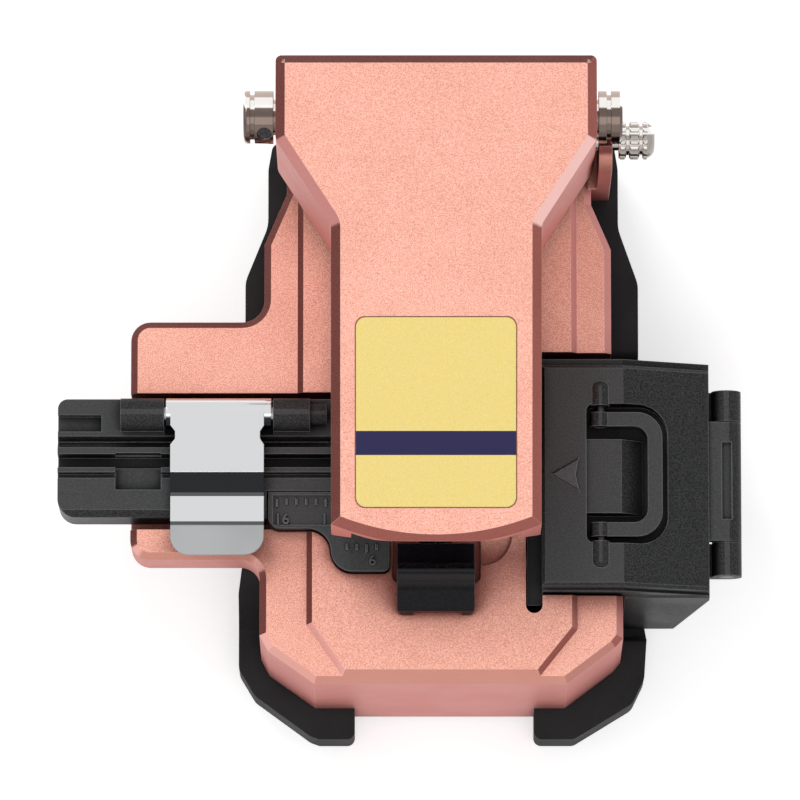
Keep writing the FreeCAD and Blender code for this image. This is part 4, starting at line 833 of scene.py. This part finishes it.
def knurled_bands():
    points = []
    faces = []
    steps = TEETH * STEPS_PER_TOOTH
    for left, right in BAND_ENDS:
        first = len(points)
        rings = ((left, 0.0), (left + TOOTH_RUN, TOOTH), (right - TOOTH_RUN, TOOTH), (right, 0.0))
        for x, tooth in rings:
            for i in range(steps):
                angle = 2 * math.pi * i / steps
                high = i % STEPS_PER_TOOTH in (1, 2)
                radius = PIN_RADIUS - KNURL_LET_IN + (tooth if high else 0.0)
                y = pin_y + radius * math.cos(angle)
                z = pin_z + radius * math.sin(angle)
                points.append((x * MM, y * MM, z * MM))
        for ring in range(len(rings) - 1):
            for i in range(steps):
                near = first + ring * steps + i
                beside = first + ring * steps + (i + 1) % steps
                faces.append([near, beside, beside + steps, near + steps])
    return add_mesh("lock_knurl", points, faces)


lock_knurl = knurled_bands()
print("knurl faces:", len(lock_knurl.data.polygons))

# %% [markdown]
# Each new piece rides on the body that carries it, so that it moves when the lever or lid does,
# and gets its finish. A list does it, because every piece needs the same calls and differs only
# in its body and its finish.

# %% Hand the new pieces to their bodies
ADDED = [
    (scale_ticks, "base", "black_plastic", marked_black),
    (tab_ticks, "base", "black_plastic", marked_black),
    *[(piece, "base", "black_plastic", marked_black) for piece in figures],
    (lid_arrow, "lid", "black_plastic", marked_black),
    (lock_knurl, "lock_pin", "nickel_steel", bright_nickel),
]
for piece, body, slot_name, finish in ADDED:
    dress(piece, finish)
    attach(piece, body)
print("added pieces:", [piece.name for piece, *_ in ADDED])

# %% [markdown]
# The tool stands on a white sweep, as in a catalogue. The floor is a plain square. More lamps
# would whiten it, but they would wash out the tool too, so it glows only where the camera
# or a mirror sees it, and still takes the tool's soft shadow.
# The floor, the lamps and the camera belong to the room, so they are given in metres.

# %% Floor
FLOOR_HALF = 3.0
FLOOR_WHITE = 0.86
FLOOR_GLOW = 0.5
FLOOR_ROUGHNESS = 0.9
WHITE = (1.0, 1.0, 1.0, 1.0)


def camera_or_mirror(tree):
    """1 for rays from the camera, a mirror or glass, and 0 for the light that falls on things."""
    rays = tree.nodes.new("ShaderNodeLightPath")
    seen = maths(tree, "MAXIMUM", rays.outputs["Is Camera Ray"], rays.outputs["Is Glossy Ray"])
    return maths(tree, "MAXIMUM", seen, rays.outputs["Is Transmission Ray"])


def make_floor(half):
    corners = [(-half, -half, 0), (half, -half, 0), (half, half, 0), (-half, half, 0)]
    floor = add_mesh("floor", corners, [(0, 1, 2, 3)])
    material = bpy.data.materials.new("white sweep")
    material.use_nodes = True
    tree = material.node_tree
    shader = tree.nodes["Principled BSDF"]
    shader.inputs["Base Color"].default_value = (FLOOR_WHITE, FLOOR_WHITE, FLOOR_WHITE, 1.0)
    shader.inputs["Roughness"].default_value = FLOOR_ROUGHNESS
    shader.inputs["Specular IOR Level"].default_value = 0.0
    shader.inputs["Emission Color"].default_value = WHITE
    glow = maths(tree, "MULTIPLY", camera_or_mirror(tree), FLOOR_GLOW)
    tree.links.new(glow, shader.inputs["Emission Strength"])
    dress(floor, material)


make_floor(FLOOR_HALF)
print("floor of", 2 * FLOOR_HALF, "m")

# %% [markdown]
# The light is soft and plain: a wide lamp high above, one behind the tool that lays the lever's
# shade on the deck before it, and weaker ones at the left and the front. A pale world fills the
# shadows. It is full white only where the camera or a mirror sees it, as the floor is.

# %% Lamps and world
LAMPS = {
    "key": {"place": (0.1, -0.4, 0.95), "power": 1.6, "width": 0.6},
    "rear": {"place": (-0.3, 0.55, 0.9), "power": 2.1, "width": 0.3},
    "fill": {"place": (-0.7, 0.15, 0.8), "power": 0.6, "width": 0.7},
    "front": {"place": (0.0, -0.9, 0.55), "power": 0.45, "width": 0.6},
}
WORLD_LIGHT = 0.55
LOOK_AT = Vector((0, 0, 24 * MM))


def add_lamp(name, place, power, width):
    light = bpy.data.lights.new(name, "AREA")
    light.energy = power
    light.size = width
    lamp = add_object(name, light)
    lamp.location = place
    lamp.rotation_euler = (LOOK_AT - Vector(place)).to_track_quat("-Z", "Y").to_euler()


def make_world():
    world = bpy.data.worlds.new("studio")
    world.use_nodes = True
    tree = world.node_tree
    sky = tree.nodes["Background"]
    sky.inputs["Color"].default_value = WHITE
    lift = maths(tree, "MULTIPLY", camera_or_mirror(tree), 1.0 - WORLD_LIGHT)
    tree.links.new(maths(tree, "ADD", lift, WORLD_LIGHT), sky.inputs["Strength"])
    return world


for name, lamp in LAMPS.items():
    add_lamp(name, **lamp)
bpy.context.scene.world = make_world()
print("lamps:", len(LAMPS), "world light:", WORLD_LIGHT)

# %% [markdown]
# The photograph was taken from almost straight above, tilted a little to the front,
# with a long lens that keeps the sides nearly parallel. Blender takes a lens in millimetres on
# its sensor, so the length that was found in pixels is turned into those.

# %% Camera
CAMERA_TILT = math.radians(9.3)
CAMERA_AWAY = 0.9
SENSOR = 36.0
FOCAL_IN_PIXELS = 8820
PICTURE_WIDTH = 800
FARTHEST = 20.0

lens = bpy.data.cameras.new("camera")
lens.sensor_width = SENSOR
lens.sensor_fit = "HORIZONTAL"
lens.lens = SENSOR * FOCAL_IN_PIXELS / PICTURE_WIDTH
lens.clip_end = FARTHEST
camera = add_object("camera", lens)
camera.location = LOOK_AT + Vector((0, -math.sin(CAMERA_TILT), math.cos(CAMERA_TILT))) * CAMERA_AWAY
camera.rotation_euler = (CAMERA_TILT, 0, 0)
bpy.context.scene.camera = camera
bpy.context.scene.view_settings.view_transform = "Standard"
print("lens:", round(lens.lens, 1), "mm")

# %% [markdown]
# Last, the scene is brought up to date.

# %% Finish
bpy.context.view_layer.update()
